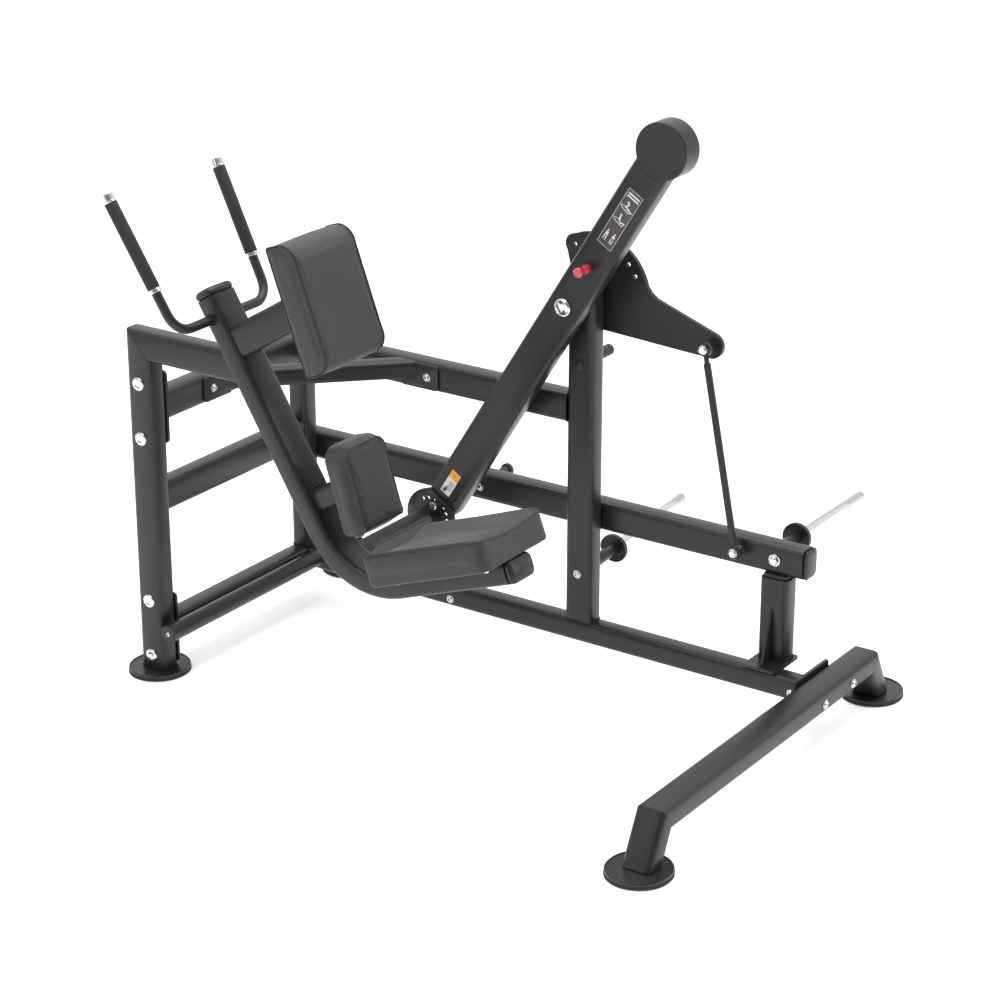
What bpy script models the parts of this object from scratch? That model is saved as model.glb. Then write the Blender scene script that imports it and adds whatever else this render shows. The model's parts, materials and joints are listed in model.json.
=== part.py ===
"""Plate-loaded kneeling glute kickback machine, modelled piece by piece.

Metres, +Z up, +X from the handle end to the wide base end, +Y away from the
user towards the weight lever. The origin is on the floor under the rear post.
"""
from math import acos, cos, pi, radians, sin, tan

import bmesh
import bpy
from mathutils import Matrix, Vector

# ------------------------------------------------------------------ sizes
GAP = 0.0003                 # space between pieces that touch
TUBE_TALL = 0.080            # large frame tube, tall side
TUBE_WIDE = 0.060            # large frame tube, narrow side and square tube
TUBE_WALL = 0.003
TUBE_CORNER = 0.014          # outer corner radius of every frame tube
CORNER_STEPS = 3
ROUND_SIDES = 32

FOOT_LENGTH = 0.170          # nearly round foot, along Y
FOOT_WIDTH = 0.162
FOOT_THICK = 0.016
BASE_TOP = 0.150             # top of the base tubes above the floor
BASE_TALL = 0.060

MAIN_PLANE = 0.645           # Y of base rail, upright and upper rail
REAR_TOP = 0.966             # top of the rear post and its rail
UPPER_TUBE_MID = 0.7465      # middle height of upper side tube and upper rail
MIDDLE_TUBE_MID = 0.495
SIDE_LEG_Y = 0.880           # far foot on the handle end
FLANGE_THICK = 0.008
FLANGE_TALL = 0.200

BRACE_TALL = 0.050           # corner brace, and how far its top sits below the rails' tops
BRACE_DROP = 0.002
BRACE_START = 0.268          # where its two ends meet the side tube and the rail
BRACE_END = 0.384

CROSS_X = 1.656              # cross base at the wide end
CROSS_NEAR_Y = -0.160        # bends of the cross base
CROSS_FAR_Y = 0.880
LEG_LEAN = radians(27)       # cross legs lean outwards
FOOT_OUTSET = 0.012          # foot centre beyond the leg's end

UPRIGHT_X = 0.938
UPRIGHT_TOP = 1.100
PIVOT_Z = 1.049
SHAFT_R = 0.015
SHAFT_CLEAR = 0.0006

STOP_X = 1.493               # post that carries the resting weight lever
STOP_INSET = 0.010           # post stands this much nearer than the lever
BUMPER_TALL = 0.0097
STOP_BASE_THICK = 0.008
STOP_BASE_LIP = 0.008

SEAT_TUBE_WIDE = 0.096           # seat frame tube, across
SEAT_CORNER = (0.673, 0.3980)    # X, Z where the two runs of the seat frame meet
BACK_LEAN = radians(31.3)        # upper run, from vertical
SEAT_RISE = radians(19.8)        # lower run, above horizontal
BACK_RUN = 0.820
SEAT_RUN = 0.515
BEND_R = 0.207
CAP_LONG = 0.022

CHEST_BACK = (0.565, 1.136)      # X, Z middle of the chest pad's back
CHEST_LEAN = radians(20.5)
CHEST_SIZE = (0.086, 0.246, 0.336)
KNEE_BACK = (0.670, 0.682)
KNEE_LEAN = radians(17.5)
KNEE_SIZE = (0.075, 0.180, 0.235)
SEAT_SIZE = (0.375, 0.285, 0.085)
SEAT_START = 0.165               # along the lower run, from its corner

HANDLE_R = 0.0125
HANDLE_BAR = (0.270, 1.049)      # X, Z of the cross part
HANDLE_BEND_Y = 0.180
HANDLE_TIP = (0.087, 0.208, 1.381)
HANDLE_BEND_R = 0.055
GRIP_R = 0.0165
GRIP_LONG = 0.235
GRIP_END = 0.022                 # bare bar beyond the grip

ARM_TALL = 0.100
ARM_SPACE = 0.020            # between the arm and the upright
ARM_Y = MAIN_PLANE - TUBE_WIDE - ARM_SPACE
ARM_ANGLE = radians(57.9)
ARM_UP = 0.525                   # pivot to the counterweight's middle
ARM_DOWN = 0.735                 # pivot to the lower end
WEIGHT_R = 0.073
WEIGHT_LONG = 0.064
PIN_RADIUS = 0.135               # start holes about the pivot
HOLE_STEP = radians(15)
HOLE_FIRST = -2
HOLE_COUNT = 7
HOLE_R = 0.0065

FAR_SPACE = 0.011                # between the main plane's tubes and what moves beyond them
PLATE_Y = MAIN_PLANE + TUBE_WIDE / 2 + FAR_SPACE
PLATE_THICK = 0.012
PLATE_RIM = 0.161                # plate edge round the start holes
PLATE_TIP_R = 0.034
LINK_PIVOT = (1.285, 0.970)      # X, Z of the link rod's upper eye
LINK_FOOT = (1.390, 0.443)       # X, Z of its lower eye
LINK_R = 0.0095
EYE_R = 0.019
EYE_THICK = 0.018
LINK_SPACE = 0.021               # between the link's eyes and the plate
LINK_Y = PLATE_Y - LINK_SPACE - EYE_THICK / 2

LEVER_Y = MAIN_PLANE + TUBE_WIDE + FAR_SPACE
LEVER_Z = 0.434
STOP_Y = LEVER_Y - STOP_INSET
STOP_TOP = LEVER_Z - TUBE_TALL / 2 - BUMPER_TALL - GAP
LEVER_START = -0.045
LEVER_END = 1.582
HORN_X = 1.463
HORN_R = 0.0145
HORN_FLANGE_R = 0.040
HORN_LONG = 0.360
STORE_Z = 0.289
STORE_TILT = radians(5)

SECTOR_OFFSET = 0.045            # foot sector centre beyond the arm's end
SECTOR_R = 0.078
SECTOR_THICK = 0.008
FOOT_TUBE = 0.052
FOOT_NEAR_Y = 0.175
TREAD_SIZE = (0.012, 0.270, 0.150)


# -------------------------------------------------------------- utilities
def clear_scene():
    for item in list(bpy.data.objects):
        bpy.data.objects.remove(item, do_unlink=True)


def material(name, colour, roughness, metallic=0.0):
    mat = bpy.data.materials.new(name)
    mat.use_nodes = True
    shader = mat.node_tree.nodes["Principled BSDF"]
    shader.inputs["Base Color"].default_value = (*colour, 1.0)
    shader.inputs["Roughness"].default_value = roughness
    shader.inputs["Metallic"].default_value = metallic
    return mat


def add_object(name, mesh, mat, origin=(0, 0, 0)):
    mesh.transform(Matrix.Translation(-Vector(origin)))
    mesh.materials.append(mat)
    item = bpy.data.objects.new(name, mesh)
    item.location = origin
    bpy.context.scene.collection.objects.link(item)
    return item


def mesh_from(name, verts, faces, smooth=True):
    mesh = bpy.data.meshes.new(name)
    mesh.from_pydata([tuple(v) for v in verts], [], faces)
    work = bmesh.new()
    work.from_mesh(mesh)
    bmesh.ops.recalc_face_normals(work, faces=work.faces)
    work.to_mesh(mesh)
    work.free()
    if smooth:
        mesh.shade_smooth()
        mesh.set_sharp_from_angle(angle=radians(35))
    return mesh


def rounded_rect(width, height, radius, steps=CORNER_STEPS):
    """Outline points of a rounded rectangle centred on zero."""
    points = []
    for corner in range(4):
        cx = (width / 2 - radius) * (1 if corner in (0, 3) else -1)
        cy = (height / 2 - radius) * (1 if corner in (0, 1) else -1)
        for step in range(steps + 1):
            angle = pi / 2 * (corner + step / steps)
            points.append((cx + radius * cos(angle), cy + radius * sin(angle)))
    return points


def circle(radius, sides=ROUND_SIDES):
    return [(radius * cos(2 * pi * i / sides), radius * sin(2 * pi * i / sides)) for i in range(sides)]


def stadium(width, length, steps=8):
    """Outline with straight sides along the second axis and round ends."""
    half = length / 2 - width / 2
    points = []
    for i in range(2 * steps + 2):
        end = 1 if i <= steps else -1
        angle = pi * (i if i <= steps else i - 1) / steps
        points.append((width / 2 * cos(angle), end * half + width / 2 * sin(angle)))
    return points


def axis_frame(axis, across):
    """Unit axis, the across direction square to it, and the third direction."""
    axis = Vector(axis).normalized()
    across = Vector(across)
    across = (across - axis * across.dot(axis)).normalized()
    return axis, across, axis.cross(across)


def ring_faces(first, second, count):
    return [(first + i, first + (i + 1) % count, second + (i + 1) % count,
             second + i) for i in range(count)]


def prism(name, outline, start, end, across, mat, inner=None, cut_start=None, cut_end=None,
          origin=None, wall=0.0):
    """Straight bar of one outline; inner makes it a tube, with a wall at its end if one is given.

    The cuts are the end planes' normals."""
    start = Vector(start)
    end = Vector(end)
    axis, u, v = axis_frame(end - start, across)
    verts = []
    rings = []
    shapes = [(outline, end)] + ([(inner, end - axis * wall)] if inner else [])
    for shape, shape_end in shapes:
        for base, normal in ((start, cut_start), (shape_end, cut_end)):
            normal = Vector(normal) if normal is not None else axis
            rings.append(len(verts))
            for a, b in shape:
                offset = u * a + v * b
                verts.append(base + offset - axis * (offset.dot(normal) / axis.dot(normal)))
    count = len(outline)
    faces = ring_faces(rings[0], rings[1], count)
    if inner:
        faces += ring_faces(rings[2], rings[3], count)
        faces += ring_faces(rings[0], rings[2], count)
        if wall:
            faces.append(tuple(range(rings[1], rings[1] + count)))
            faces.append(tuple(range(rings[3], rings[3] + count)))
        else:
            faces += ring_faces(rings[1], rings[3], count)
    else:
        faces.append(tuple(range(rings[0], rings[0] + count)))
        faces.append(tuple(range(rings[1], rings[1] + count)))
    return add_object(name, mesh_from(name, verts, faces), mat, origin or (start + end) / 2)


def frame_tube(name, start, end, tall, wide, tall_axis, mat, **cuts):
    """Rounded rectangular steel tube, open at both ends unless it gets an end wall."""
    outer = rounded_rect(tall, wide, TUBE_CORNER)
    inner = rounded_rect(tall - 2 * TUBE_WALL, wide - 2 * TUBE_WALL, TUBE_CORNER - TUBE_WALL)
    return prism(name, outer, start, end, tall_axis, mat, inner=inner, **cuts)


def turned(name, profile, base, axis, mat, sides=ROUND_SIDES, origin=None):
    """Solid of revolution: profile is (distance along axis, radius) pairs, closed by flat ends."""
    axis, u, v = axis_frame(axis, (1, 0, 0) if abs(Vector(axis).normalized().x) < 0.9 else (0, 0, 1))
    base = Vector(base)
    verts = []
    for along, radius in profile:
        for a, b in circle(radius, sides):
            verts.append(base + axis * along + u * a + v * b)
    faces = []
    for i in range(len(profile) - 1):
        faces += ring_faces(i * sides, (i + 1) * sides, sides)
    last = (len(profile) - 1) * sides
    faces.append(tuple(range(sides)))
    faces.append(tuple(range(last, last + sides)))
    return add_object(name, mesh_from(name, verts, faces), mat, origin or base)


def swept(name, outline, path, across, mat, inner=None, origin=None):
    """Outline carried along a path of points that lies in one plane square to across."""
    path = [Vector(p) for p in path]
    across = Vector(across).normalized()
    shapes = [outline] + ([inner] if inner else [])
    count = len(outline)
    verts = []
    faces = []
    ends = []
    for shape in shapes:
        first = len(verts)
        for i, point in enumerate(path):
            ahead = path[min(i + 1, len(path) - 1)] - path[max(i - 1, 0)]
            axis, u, v = axis_frame(ahead, across)
            verts += [point + u * a + v * b for a, b in shape]
            if i:
                faces += ring_faces(first + (i - 1) * count, first + i * count, count)
        ends.append((first, first + (len(path) - 1) * count))
    if inner:
        faces += ring_faces(ends[0][0], ends[1][0], count)
        faces += ring_faces(ends[0][1], ends[1][1], count)
    else:
        faces += [tuple(range(e, e + count)) for e in ends[0]]
    return add_object(name, mesh_from(name, verts, faces), mat, origin or path[0])


def bend(before, corner, after, radius, steps=10):
    """Points of the arc that rounds a corner between two straight runs."""
    before, corner, after = Vector(before), Vector(corner), Vector(after)
    first = (before - corner).normalized()
    second = (after - corner).normalized()
    half = acos(max(-1.0, min(1.0, first.dot(second)))) / 2
    reach = radius / tan(half)
    centre = corner + (first + second).normalized() * (radius / sin(half))
    start = corner + first * reach - centre
    finish = corner + second * reach - centre
    turn = pi - 2 * half
    points = []
    for i in range(steps + 1):
        t = turn * i / steps
        points.append(centre + (start * sin(turn - t) + finish * sin(t)) / sin(turn))
    return points


def cut(item, cutters):
    """Take the cutters' shapes out of an item with exact booleans."""
    for number, cutter in enumerate(cutters):
        cutter.name = "cut_" + item.name + "_" + str(number)
        cutter.hide_render = True
        cutter.display_type = "WIRE"
        step = item.modifiers.new("cut_" + str(number), "BOOLEAN")
        step.operation = "DIFFERENCE"
        step.solver = "EXACT"
        step.object = cutter
    return item


def drill(radius, x, z, y_from, y_to, sides=24):
    return turned("drill", [(0, radius), (y_to - y_from, radius)], (x, y_from, z), (0, 1, 0), STEEL, sides)


def tube_plug(name, point, axis, across, tall, wide, depth, mat):
    """Moulded end cap with a rounded rim, outside an open tube end."""
    point = Vector(point)
    direction, u, v = axis_frame(axis, across)
    verts = []
    rims = ((0.0, 0.0), (depth * 0.55, 0.0), (depth * 0.85, 0.003), (depth, 0.008))
    for along, inset in rims:
        shape = rounded_rect(tall - 2 * inset, wide - 2 * inset, TUBE_CORNER)
        verts += [point + direction * along + u * a + v * b for a, b in shape]
    count = 4 * (CORNER_STEPS + 1)
    faces = []
    for i in range(len(rims) - 1):
        faces += ring_faces(i * count, (i + 1) * count, count)
    last = (len(rims) - 1) * count
    faces.append(tuple(range(count)))
    faces.append(tuple(range(last, last + count)))
    return add_object(name, mesh_from(name, verts, faces), mat, point)


# -------------------------------------------------------------- materials
def make_materials():
    global PAINT, RUBBER, VINYL, CHROME, GRIP, RED, STEEL, MOULDING
    PAINT = material("textured_black_paint", (0.030, 0.030, 0.032), 0.55)
    RUBBER = material("rubber", (0.018, 0.018, 0.018), 0.8)
    VINYL = material("dark_vinyl", (0.045, 0.045, 0.047), 0.55)
    CHROME = material("chrome", (0.85, 0.85, 0.87), 0.12, 1.0)
    GRIP = material("foam_grip", (0.025, 0.025, 0.026), 0.75)
    RED = material("red_knob", (0.50, 0.03, 0.06), 0.4)
    STEEL = material("zinc_steel", (0.62, 0.62, 0.64), 0.3, 1.0)
    MOULDING = material("black_plastic", (0.02, 0.02, 0.02), 0.45)


# ------------------------------------------------------------- base frame
def oval_foot(name, x, y):
    outline = stadium(FOOT_WIDTH, FOOT_LENGTH)
    return prism(name, outline, (x, y, 0), (x, y, FOOT_THICK), (1, 0, 0), RUBBER)


def leaning_leg(name, x, corner_y, outward):
    """Short leg from the cross base's mitred end down to its foot."""
    mid_z = BASE_TOP - BASE_TALL / 2
    lean = Vector((0, outward * sin(LEG_LEAN), -cos(LEG_LEAN)))
    top = Vector((x, corner_y, mid_z))
    reach = (mid_z - FOOT_THICK - GAP) / cos(LEG_LEAN)
    mitre = (lean - Vector((0, -outward, 0))).normalized()
    start = top + lean * GAP
    end = top + lean * reach
    frame_tube(name, start, end, TUBE_TALL, BASE_TALL, (1, 0, 0), PAINT, cut_start=mitre, cut_end=(0, 0, 1))
    return end.y + outward * FOOT_OUTSET, mitre


def build_rear_end():
    """Rear post, its top rail, the three side tubes and the two feet of the handle end."""
    half_tall = TUBE_TALL / 2
    corner = Vector((0, 0, REAR_TOP - half_tall))
    mitre = Vector((1, 0, 1)).normalized()
    frame_tube("rear_post", (0, 0, FOOT_THICK + GAP), corner - Vector((0, 0, GAP)), TUBE_TALL, TUBE_WIDE,
               (1, 0, 0), PAINT, cut_end=mitre)
    oval_foot("rear_foot", 0, 0)
    back_face = Vector((cos(BACK_LEAN), 0, sin(BACK_LEAN)))
    seat_up = Vector((-sin(BACK_LEAN), 0, cos(BACK_LEAN)))
    rise = (corner.z - SEAT_CORNER[1]) / seat_up.z
    meet_x = SEAT_CORNER[0] + seat_up.x * rise - (TUBE_WIDE / 2 + GAP) / back_face.x
    frame_tube("rear_top_rail", corner + Vector((GAP, 0, 0)), (meet_x, 0, corner.z), TUBE_TALL, TUBE_WIDE,
               (0, 0, 1), PAINT, cut_start=mitre, cut_end=back_face)

    post_back = TUBE_WIDE / 2 + GAP
    inner_face = MAIN_PLANE - TUBE_WIDE / 2 - GAP
    tube_start = post_back + FLANGE_THICK + GAP
    for name, z, tall, far in (("upper_side", UPPER_TUBE_MID, TUBE_TALL, inner_face),
                               ("base_side", BASE_TOP - BASE_TALL / 2, BASE_TALL, SIDE_LEG_Y)):
        flange = rounded_rect(TUBE_TALL, FLANGE_TALL, 0.012)
        prism(name + "_flange", flange, (0, post_back, z), (0, post_back + FLANGE_THICK, z), (1, 0,
                                                                                              0), PAINT)
        frame_tube(name + "_tube", (0, tube_start, z), (0, far, z), tall, TUBE_WIDE, (0, 0, 1),
                   PAINT, wall=TUBE_WALL)
    frame_tube("middle_side_tube", (0, post_back, MIDDLE_TUBE_MID), (0, inner_face,
                                                                     MIDDLE_TUBE_MID), TUBE_TALL,
               TUBE_WIDE, (0, 0, 1), PAINT)
    leg_y = SIDE_LEG_Y - TUBE_WIDE / 2
    frame_tube("side_leg", (0, leg_y, FOOT_THICK + GAP), (0, leg_y, BASE_TOP - BASE_TALL - GAP), TUBE_WIDE,
               TUBE_WIDE, (1, 0, 0), PAINT)
    oval_foot("side_foot", 0, leg_y)
    bar_outer = circle(0.024, 24)
    bar_inner = circle(0.021, 24)
    bar_x = TUBE_TALL / 2 + 0.024 + 0.012
    prism("foot_bar", bar_outer, (bar_x, -0.045, 0.138), (bar_x, 0.600, 0.138), (1, 0, 0), PAINT,
          inner=bar_inner)


def build_main_frame():
    """The long frame in the main plane: inner post, rails, upright and cross base."""
    base_z = BASE_TOP - BASE_TALL / 2
    rail_x = TUBE_WIDE / 2 + GAP
    frame_tube("inner_post", (0, MAIN_PLANE, BASE_TOP + GAP), (0, MAIN_PLANE,
                                                               UPPER_TUBE_MID + TUBE_TALL / 2),
               TUBE_WIDE, TUBE_WIDE, (1, 0, 0), PAINT, wall=TUBE_WALL)
    frame_tube("upper_rail", (rail_x, MAIN_PLANE, UPPER_TUBE_MID),
               (UPRIGHT_X - TUBE_TALL / 2 - GAP, MAIN_PLANE, UPPER_TUBE_MID), TUBE_TALL, TUBE_WIDE,
               (0, 0, 1), PAINT)
    cross_left = CROSS_X - TUBE_TALL / 2
    frame_tube("base_rail", (rail_x, MAIN_PLANE, base_z), (cross_left - GAP, MAIN_PLANE, base_z), BASE_TALL,
               TUBE_WIDE, (0, 0, 1), PAINT)
    upright = frame_tube("main_upright", (UPRIGHT_X, MAIN_PLANE, BASE_TOP + GAP),
                         (UPRIGHT_X, MAIN_PLANE, UPRIGHT_TOP), TUBE_TALL, TUBE_WIDE, (1, 0, 0),
                         PAINT, wall=TUBE_WALL)
    cut(upright, [drill(SHAFT_R + SHAFT_CLEAR, UPRIGHT_X, PIVOT_Z, MAIN_PLANE - 0.05, MAIN_PLANE + 0.05)])
    near_end, near_mitre = leaning_leg("cross_leg_near", CROSS_X, CROSS_NEAR_Y, -1)
    far_end, far_mitre = leaning_leg("cross_leg_far", CROSS_X, CROSS_FAR_Y, 1)
    frame_tube("cross_base", (CROSS_X, CROSS_NEAR_Y + GAP, base_z), (CROSS_X, CROSS_FAR_Y - GAP, base_z),
               TUBE_TALL, BASE_TALL, (1, 0, 0), PAINT, cut_start=near_mitre, cut_end=far_mitre)
    oval_foot("cross_foot_near", CROSS_X, near_end)
    oval_foot("cross_foot_far", CROSS_X, far_end)

    brace_z = UPPER_TUBE_MID + TUBE_TALL / 2 - BRACE_DROP - BRACE_TALL / 2
    start = Vector((TUBE_WIDE / 2 + GAP, BRACE_START, brace_z))
    end = Vector((BRACE_END, MAIN_PLANE - TUBE_WIDE / 2 - GAP, brace_z))
    frame_tube("corner_brace", start, end, BRACE_TALL, TUBE_WIDE, (0, 0, 1), PAINT,
               cut_start=(1, 0, 0), cut_end=(0, 1, 0))

    base_near = MAIN_PLANE - TUBE_WIDE / 2
    base_far = STOP_Y + TUBE_WIDE / 2 + STOP_BASE_LIP
    base_mid = (base_near + base_far) / 2
    base_outline = rounded_rect(TUBE_TALL + 2 * STOP_BASE_LIP, base_far - base_near, STOP_BASE_LIP)
    plate_z = BASE_TOP + GAP
    post_z = plate_z + STOP_BASE_THICK + GAP
    prism("stop_base", base_outline, (STOP_X, base_mid, plate_z), (STOP_X, base_mid,
                                                                   plate_z + STOP_BASE_THICK),
          (1, 0, 0), PAINT)
    frame_tube("stop_post", (STOP_X, STOP_Y, post_z), (STOP_X, STOP_Y, STOP_TOP), TUBE_TALL,
               TUBE_WIDE, (1, 0, 0),
               PAINT, wall=TUBE_WALL)
    prism("stop_bumper", rounded_rect(TUBE_TALL - 0.012, TUBE_WIDE - 0.012, 0.010), (STOP_X, STOP_Y,
                                                                                     STOP_TOP + GAP),
          (STOP_X, STOP_Y, STOP_TOP + BUMPER_TALL), (1, 0, 0), RUBBER)

    horn_axis = Vector((0, cos(STORE_TILT), sin(STORE_TILT)))
    horn_base = (UPRIGHT_X, MAIN_PLANE + TUBE_WIDE / 2 + 0.003, STORE_Z)
    stand = 0.115
    turned("storage_horn", [(0, 0.016), (stand, 0.016), (stand, HORN_FLANGE_R), (stand + 0.012,
                                                                                 HORN_FLANGE_R),
                            (stand + 0.012, HORN_R), (stand + HORN_LONG, HORN_R),
                            (stand + HORN_LONG + 0.003, HORN_R - 0.003)], horn_base, horn_axis, CHROME, 24)
    turned("travel_stop", [(0, 0.015), (0.084, 0.015), (0.090, 0.010)],
           (UPRIGHT_X, MAIN_PLANE + TUBE_WIDE / 2 + GAP, 0.876), (0, 1, 0), RUBBER, 24)
    near = ARM_Y - TUBE_WIDE / 2 - 0.001
    far = PLATE_Y + PLATE_THICK + 0.004
    turned("pivot_shaft", [(0, SHAFT_R), (far - near, SHAFT_R)], (UPRIGHT_X, near, PIVOT_Z), (0, 1,
                                                                                              0), STEEL)


# ------------------------------------------------------------- seat frame
def seat_directions():
    up = Vector((-sin(BACK_LEAN), 0, cos(BACK_LEAN)))
    along = Vector((cos(SEAT_RISE), 0, sin(SEAT_RISE)))
    corner = Vector((SEAT_CORNER[0], 0, SEAT_CORNER[1]))
    return corner, up, along


def pad_block(name, centre, normal, up, size):
    """Upholstered pad as a plain block with rounded edges."""
    normal, up, side = axis_frame(normal, up)
    outline = rounded_rect(size[2], size[1], 0.035, 5)
    back = Vector(centre)
    verts = []
    rims = ((0.0, 0.0), (size[0] - 0.012, 0.0), (size[0] - 0.003, 0.004), (size[0], 0.012))
    for along, inset in rims:
        scale_up = 1 - 2 * inset / size[2]
        scale_side = 1 - 2 * inset / size[1]
        verts += [back + normal * along + up * a * scale_up + side * b * scale_side for a, b in outline]
    count = len(outline)
    faces = []
    for i in range(len(rims) - 1):
        faces += ring_faces(i * count, (i + 1) * count, count)
    last = (len(rims) - 1) * count
    faces.append(tuple(range(count)))
    faces.append(tuple(range(last, last + count)))
    return add_object(name, mesh_from(name, verts, faces), VINYL, back)


def pad_bracket(name, pad_middle, pad_normal, face_point, face_normal, size):
    """Square tube that joins the seat frame's face to a pad's back."""
    pad_middle = Vector(pad_middle) - pad_normal * GAP
    # run square to the seat frame, ending on the slanted back of the pad
    reach = (pad_middle - face_point).dot(face_normal)
    start = pad_middle - face_normal * (reach - GAP)
    frame_tube(name, start, pad_middle, size, size, (0, 1, 0), PAINT, cut_start=face_normal,
               cut_end=pad_normal)


def build_seat_frame():
    corner, up, along = seat_directions()
    top = corner + up * BACK_RUN
    front = corner + along * SEAT_RUN
    outer = rounded_rect(SEAT_TUBE_WIDE, TUBE_WIDE, TUBE_CORNER)
    inner = rounded_rect(SEAT_TUBE_WIDE - 2 * TUBE_WALL, TUBE_WIDE - 2 * TUBE_WALL, TUBE_CORNER - TUBE_WALL)
    path = [top] + bend(top, corner, front, BEND_R) + [front]
    swept("seat_frame", outer, path, (0, 1, 0), PAINT, inner=inner)
    tube_plug("seat_frame_cap_top", top + up * GAP, up, (0, 1, 0), SEAT_TUBE_WIDE, TUBE_WIDE, CAP_LONG,
              MOULDING)
    tube_plug("seat_frame_cap_front", front + along * GAP, along, (0, 1, 0), SEAT_TUBE_WIDE, TUBE_WIDE,
              CAP_LONG, MOULDING)
    front_face = Vector((cos(BACK_LEAN), 0, sin(BACK_LEAN)))
    face_point = corner + front_face * (TUBE_WIDE / 2)
    for name, middle, lean, size, square in (("chest_pad", CHEST_BACK, CHEST_LEAN, CHEST_SIZE, 0.084),
                                             ("knee_pad", KNEE_BACK, KNEE_LEAN, KNEE_SIZE, 0.060)):
        normal = Vector((cos(lean), 0, sin(lean)))
        tilt = Vector((-sin(lean), 0, cos(lean)))
        back = Vector((middle[0], 0, middle[1]))
        pad_block(name, back, normal, tilt, size)
        pad_bracket(name + "_bracket", back, normal, face_point, front_face, square)
    normal = Vector((-sin(SEAT_RISE), 0, cos(SEAT_RISE)))
    middle = corner + along * (SEAT_START + SEAT_SIZE[0] / 2) + normal * (TUBE_WIDE / 2 + GAP)
    pad_block("seat_pad", middle, normal, along, (SEAT_SIZE[2], SEAT_SIZE[1], SEAT_SIZE[0]))


def build_handles():
    """Two bent handle bars butted to the seat frame, each with a foam grip."""
    for name, side in (("near", -1), ("far", 1)):
        start = Vector((HANDLE_BAR[0], side * (SEAT_TUBE_WIDE / 2 + GAP), HANDLE_BAR[1]))
        corner = Vector((HANDLE_BAR[0], side * HANDLE_BEND_Y, HANDLE_BAR[1]))
        tip = Vector((HANDLE_TIP[0], side * HANDLE_TIP[1], HANDLE_TIP[2]))
        across = (corner - start).cross(tip - corner)
        path = [start] + bend(start, corner, tip, HANDLE_BEND_R, 8) + [tip]
        swept("handle_" + name, circle(HANDLE_R, 16), path, across, PAINT)
        back = (corner - tip).normalized()
        grip_top = tip + back * GRIP_END
        prism("grip_" + name, circle(GRIP_R, 24), grip_top, grip_top + back * GRIP_LONG, (0, 1, 0), GRIP,
              inner=circle(HANDLE_R + GAP, 24))


# ----------------------------------------------------------- moving parts
def arm_direction():
    return Vector((cos(ARM_ANGLE), 0, sin(ARM_ANGLE)))


def build_arm():
    """Long swing arm with counterweight, start pin and the adjustable foot tread."""
    pivot = Vector((UPRIGHT_X, ARM_Y, PIVOT_Z))
    up = arm_direction()
    top = pivot + up * (ARM_UP - 0.002)
    bottom = pivot - up * ARM_DOWN
    arm = frame_tube("swing_arm", bottom, top, ARM_TALL, TUBE_WIDE, up.cross(Vector((0, 1, 0))),
                     PAINT, origin=pivot)
    weight = pivot + up * ARM_UP
    near = ARM_Y - TUBE_WIDE / 2
    pin = pivot + up * PIN_RADIUS
    cut(arm, [drill(SHAFT_R + SHAFT_CLEAR, pivot.x, pivot.z, near - 0.02, near + TUBE_WIDE + 0.02),
              drill(0.0075, pin.x, pin.z, near - 0.02, near + TUBE_WIDE + 0.02),
              drill(WEIGHT_R + GAP, weight.x, weight.z, near - 0.02, near + TUBE_WIDE + 0.02, 48)])
    half = WEIGHT_LONG / 2
    turned("counterweight", [(0, WEIGHT_R - 0.002), (0.002, WEIGHT_R), (WEIGHT_LONG - 0.002, WEIGHT_R),
                             (WEIGHT_LONG, WEIGHT_R - 0.002)],
           (weight.x, ARM_Y - half, weight.z), (0, 1, 0), PAINT, 48)
    turned("pivot_cap", [(0, 0.024), (0.003, 0.024), (0.006, 0.022), (0.0075, 0.017)],
           (pivot.x, near - 0.0013, pivot.z), (0, -1, 0), CHROME)
    reach = PLATE_Y - 0.0012 - near
    turned("start_pin", [(-0.048, 0.011), (-0.045, 0.0135), (-0.030, 0.0125), (-0.026, 0.008),
                         (-0.016, 0.008),
                         (-0.0155, 0.012), (-GAP, 0.012), (-GAP, 0.006), (reach, 0.006)],
           (pin.x, near, pin.z), (0, 1, 0), RED, 24)

    sector = pivot - up * (ARM_DOWN + SECTOR_OFFSET)
    side = up.cross(Vector((0, 1, 0)))
    outline = []
    for i in range(25):
        angle = pi * 1.5 * i / 24 - pi * 0.75
        outline.append((-SECTOR_R * cos(angle), SECTOR_R * sin(angle)))
    outline += [(SECTOR_OFFSET + 0.020, SECTOR_R * 0.62), (SECTOR_OFFSET + 0.020, -SECTOR_R * 0.62)]
    sector_near = near - SECTOR_THICK - GAP
    plate = prism("foot_sector", outline, (sector.x, sector_near, sector.z),
                  (sector.x, sector_near + SECTOR_THICK, sector.z), up, PAINT)
    cut(plate, [drill(0.0065, sector.x, sector.z, sector_near - 0.02, sector_near + 0.03)])
    tube_far = sector_near - 0.0006
    tube = prism("foot_tube", rounded_rect(FOOT_TUBE, FOOT_TUBE, 0.008), (sector.x, FOOT_NEAR_Y, sector.z),
                 (sector.x, tube_far, sector.z), up, PAINT, origin=sector)
    plate_face = sector - side * (FOOT_TUBE / 2 + GAP)
    tread_start = plate_face + Vector((0, FOOT_NEAR_Y - sector.y, 0))
    tread_outline = [(b, a) for a, b in rounded_rect(TREAD_SIZE[2], TREAD_SIZE[1], 0.020)]
    middle = tread_start + Vector((0, TREAD_SIZE[1] / 2, 0))
    prism("foot_tread", tread_outline, middle, middle - side * TREAD_SIZE[0], (0, 1, 0), RUBBER)
    turned("foot_pin", [(-0.030, 0.009), (-0.028, 0.011), (-0.018, 0.011), (-0.015, 0.006), (-GAP, 0.006)],
           sector + up * 0.052 + Vector((0, sector_near - sector.y, 0)), (0, 1, 0), CHROME, 24)
    return tube


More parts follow.
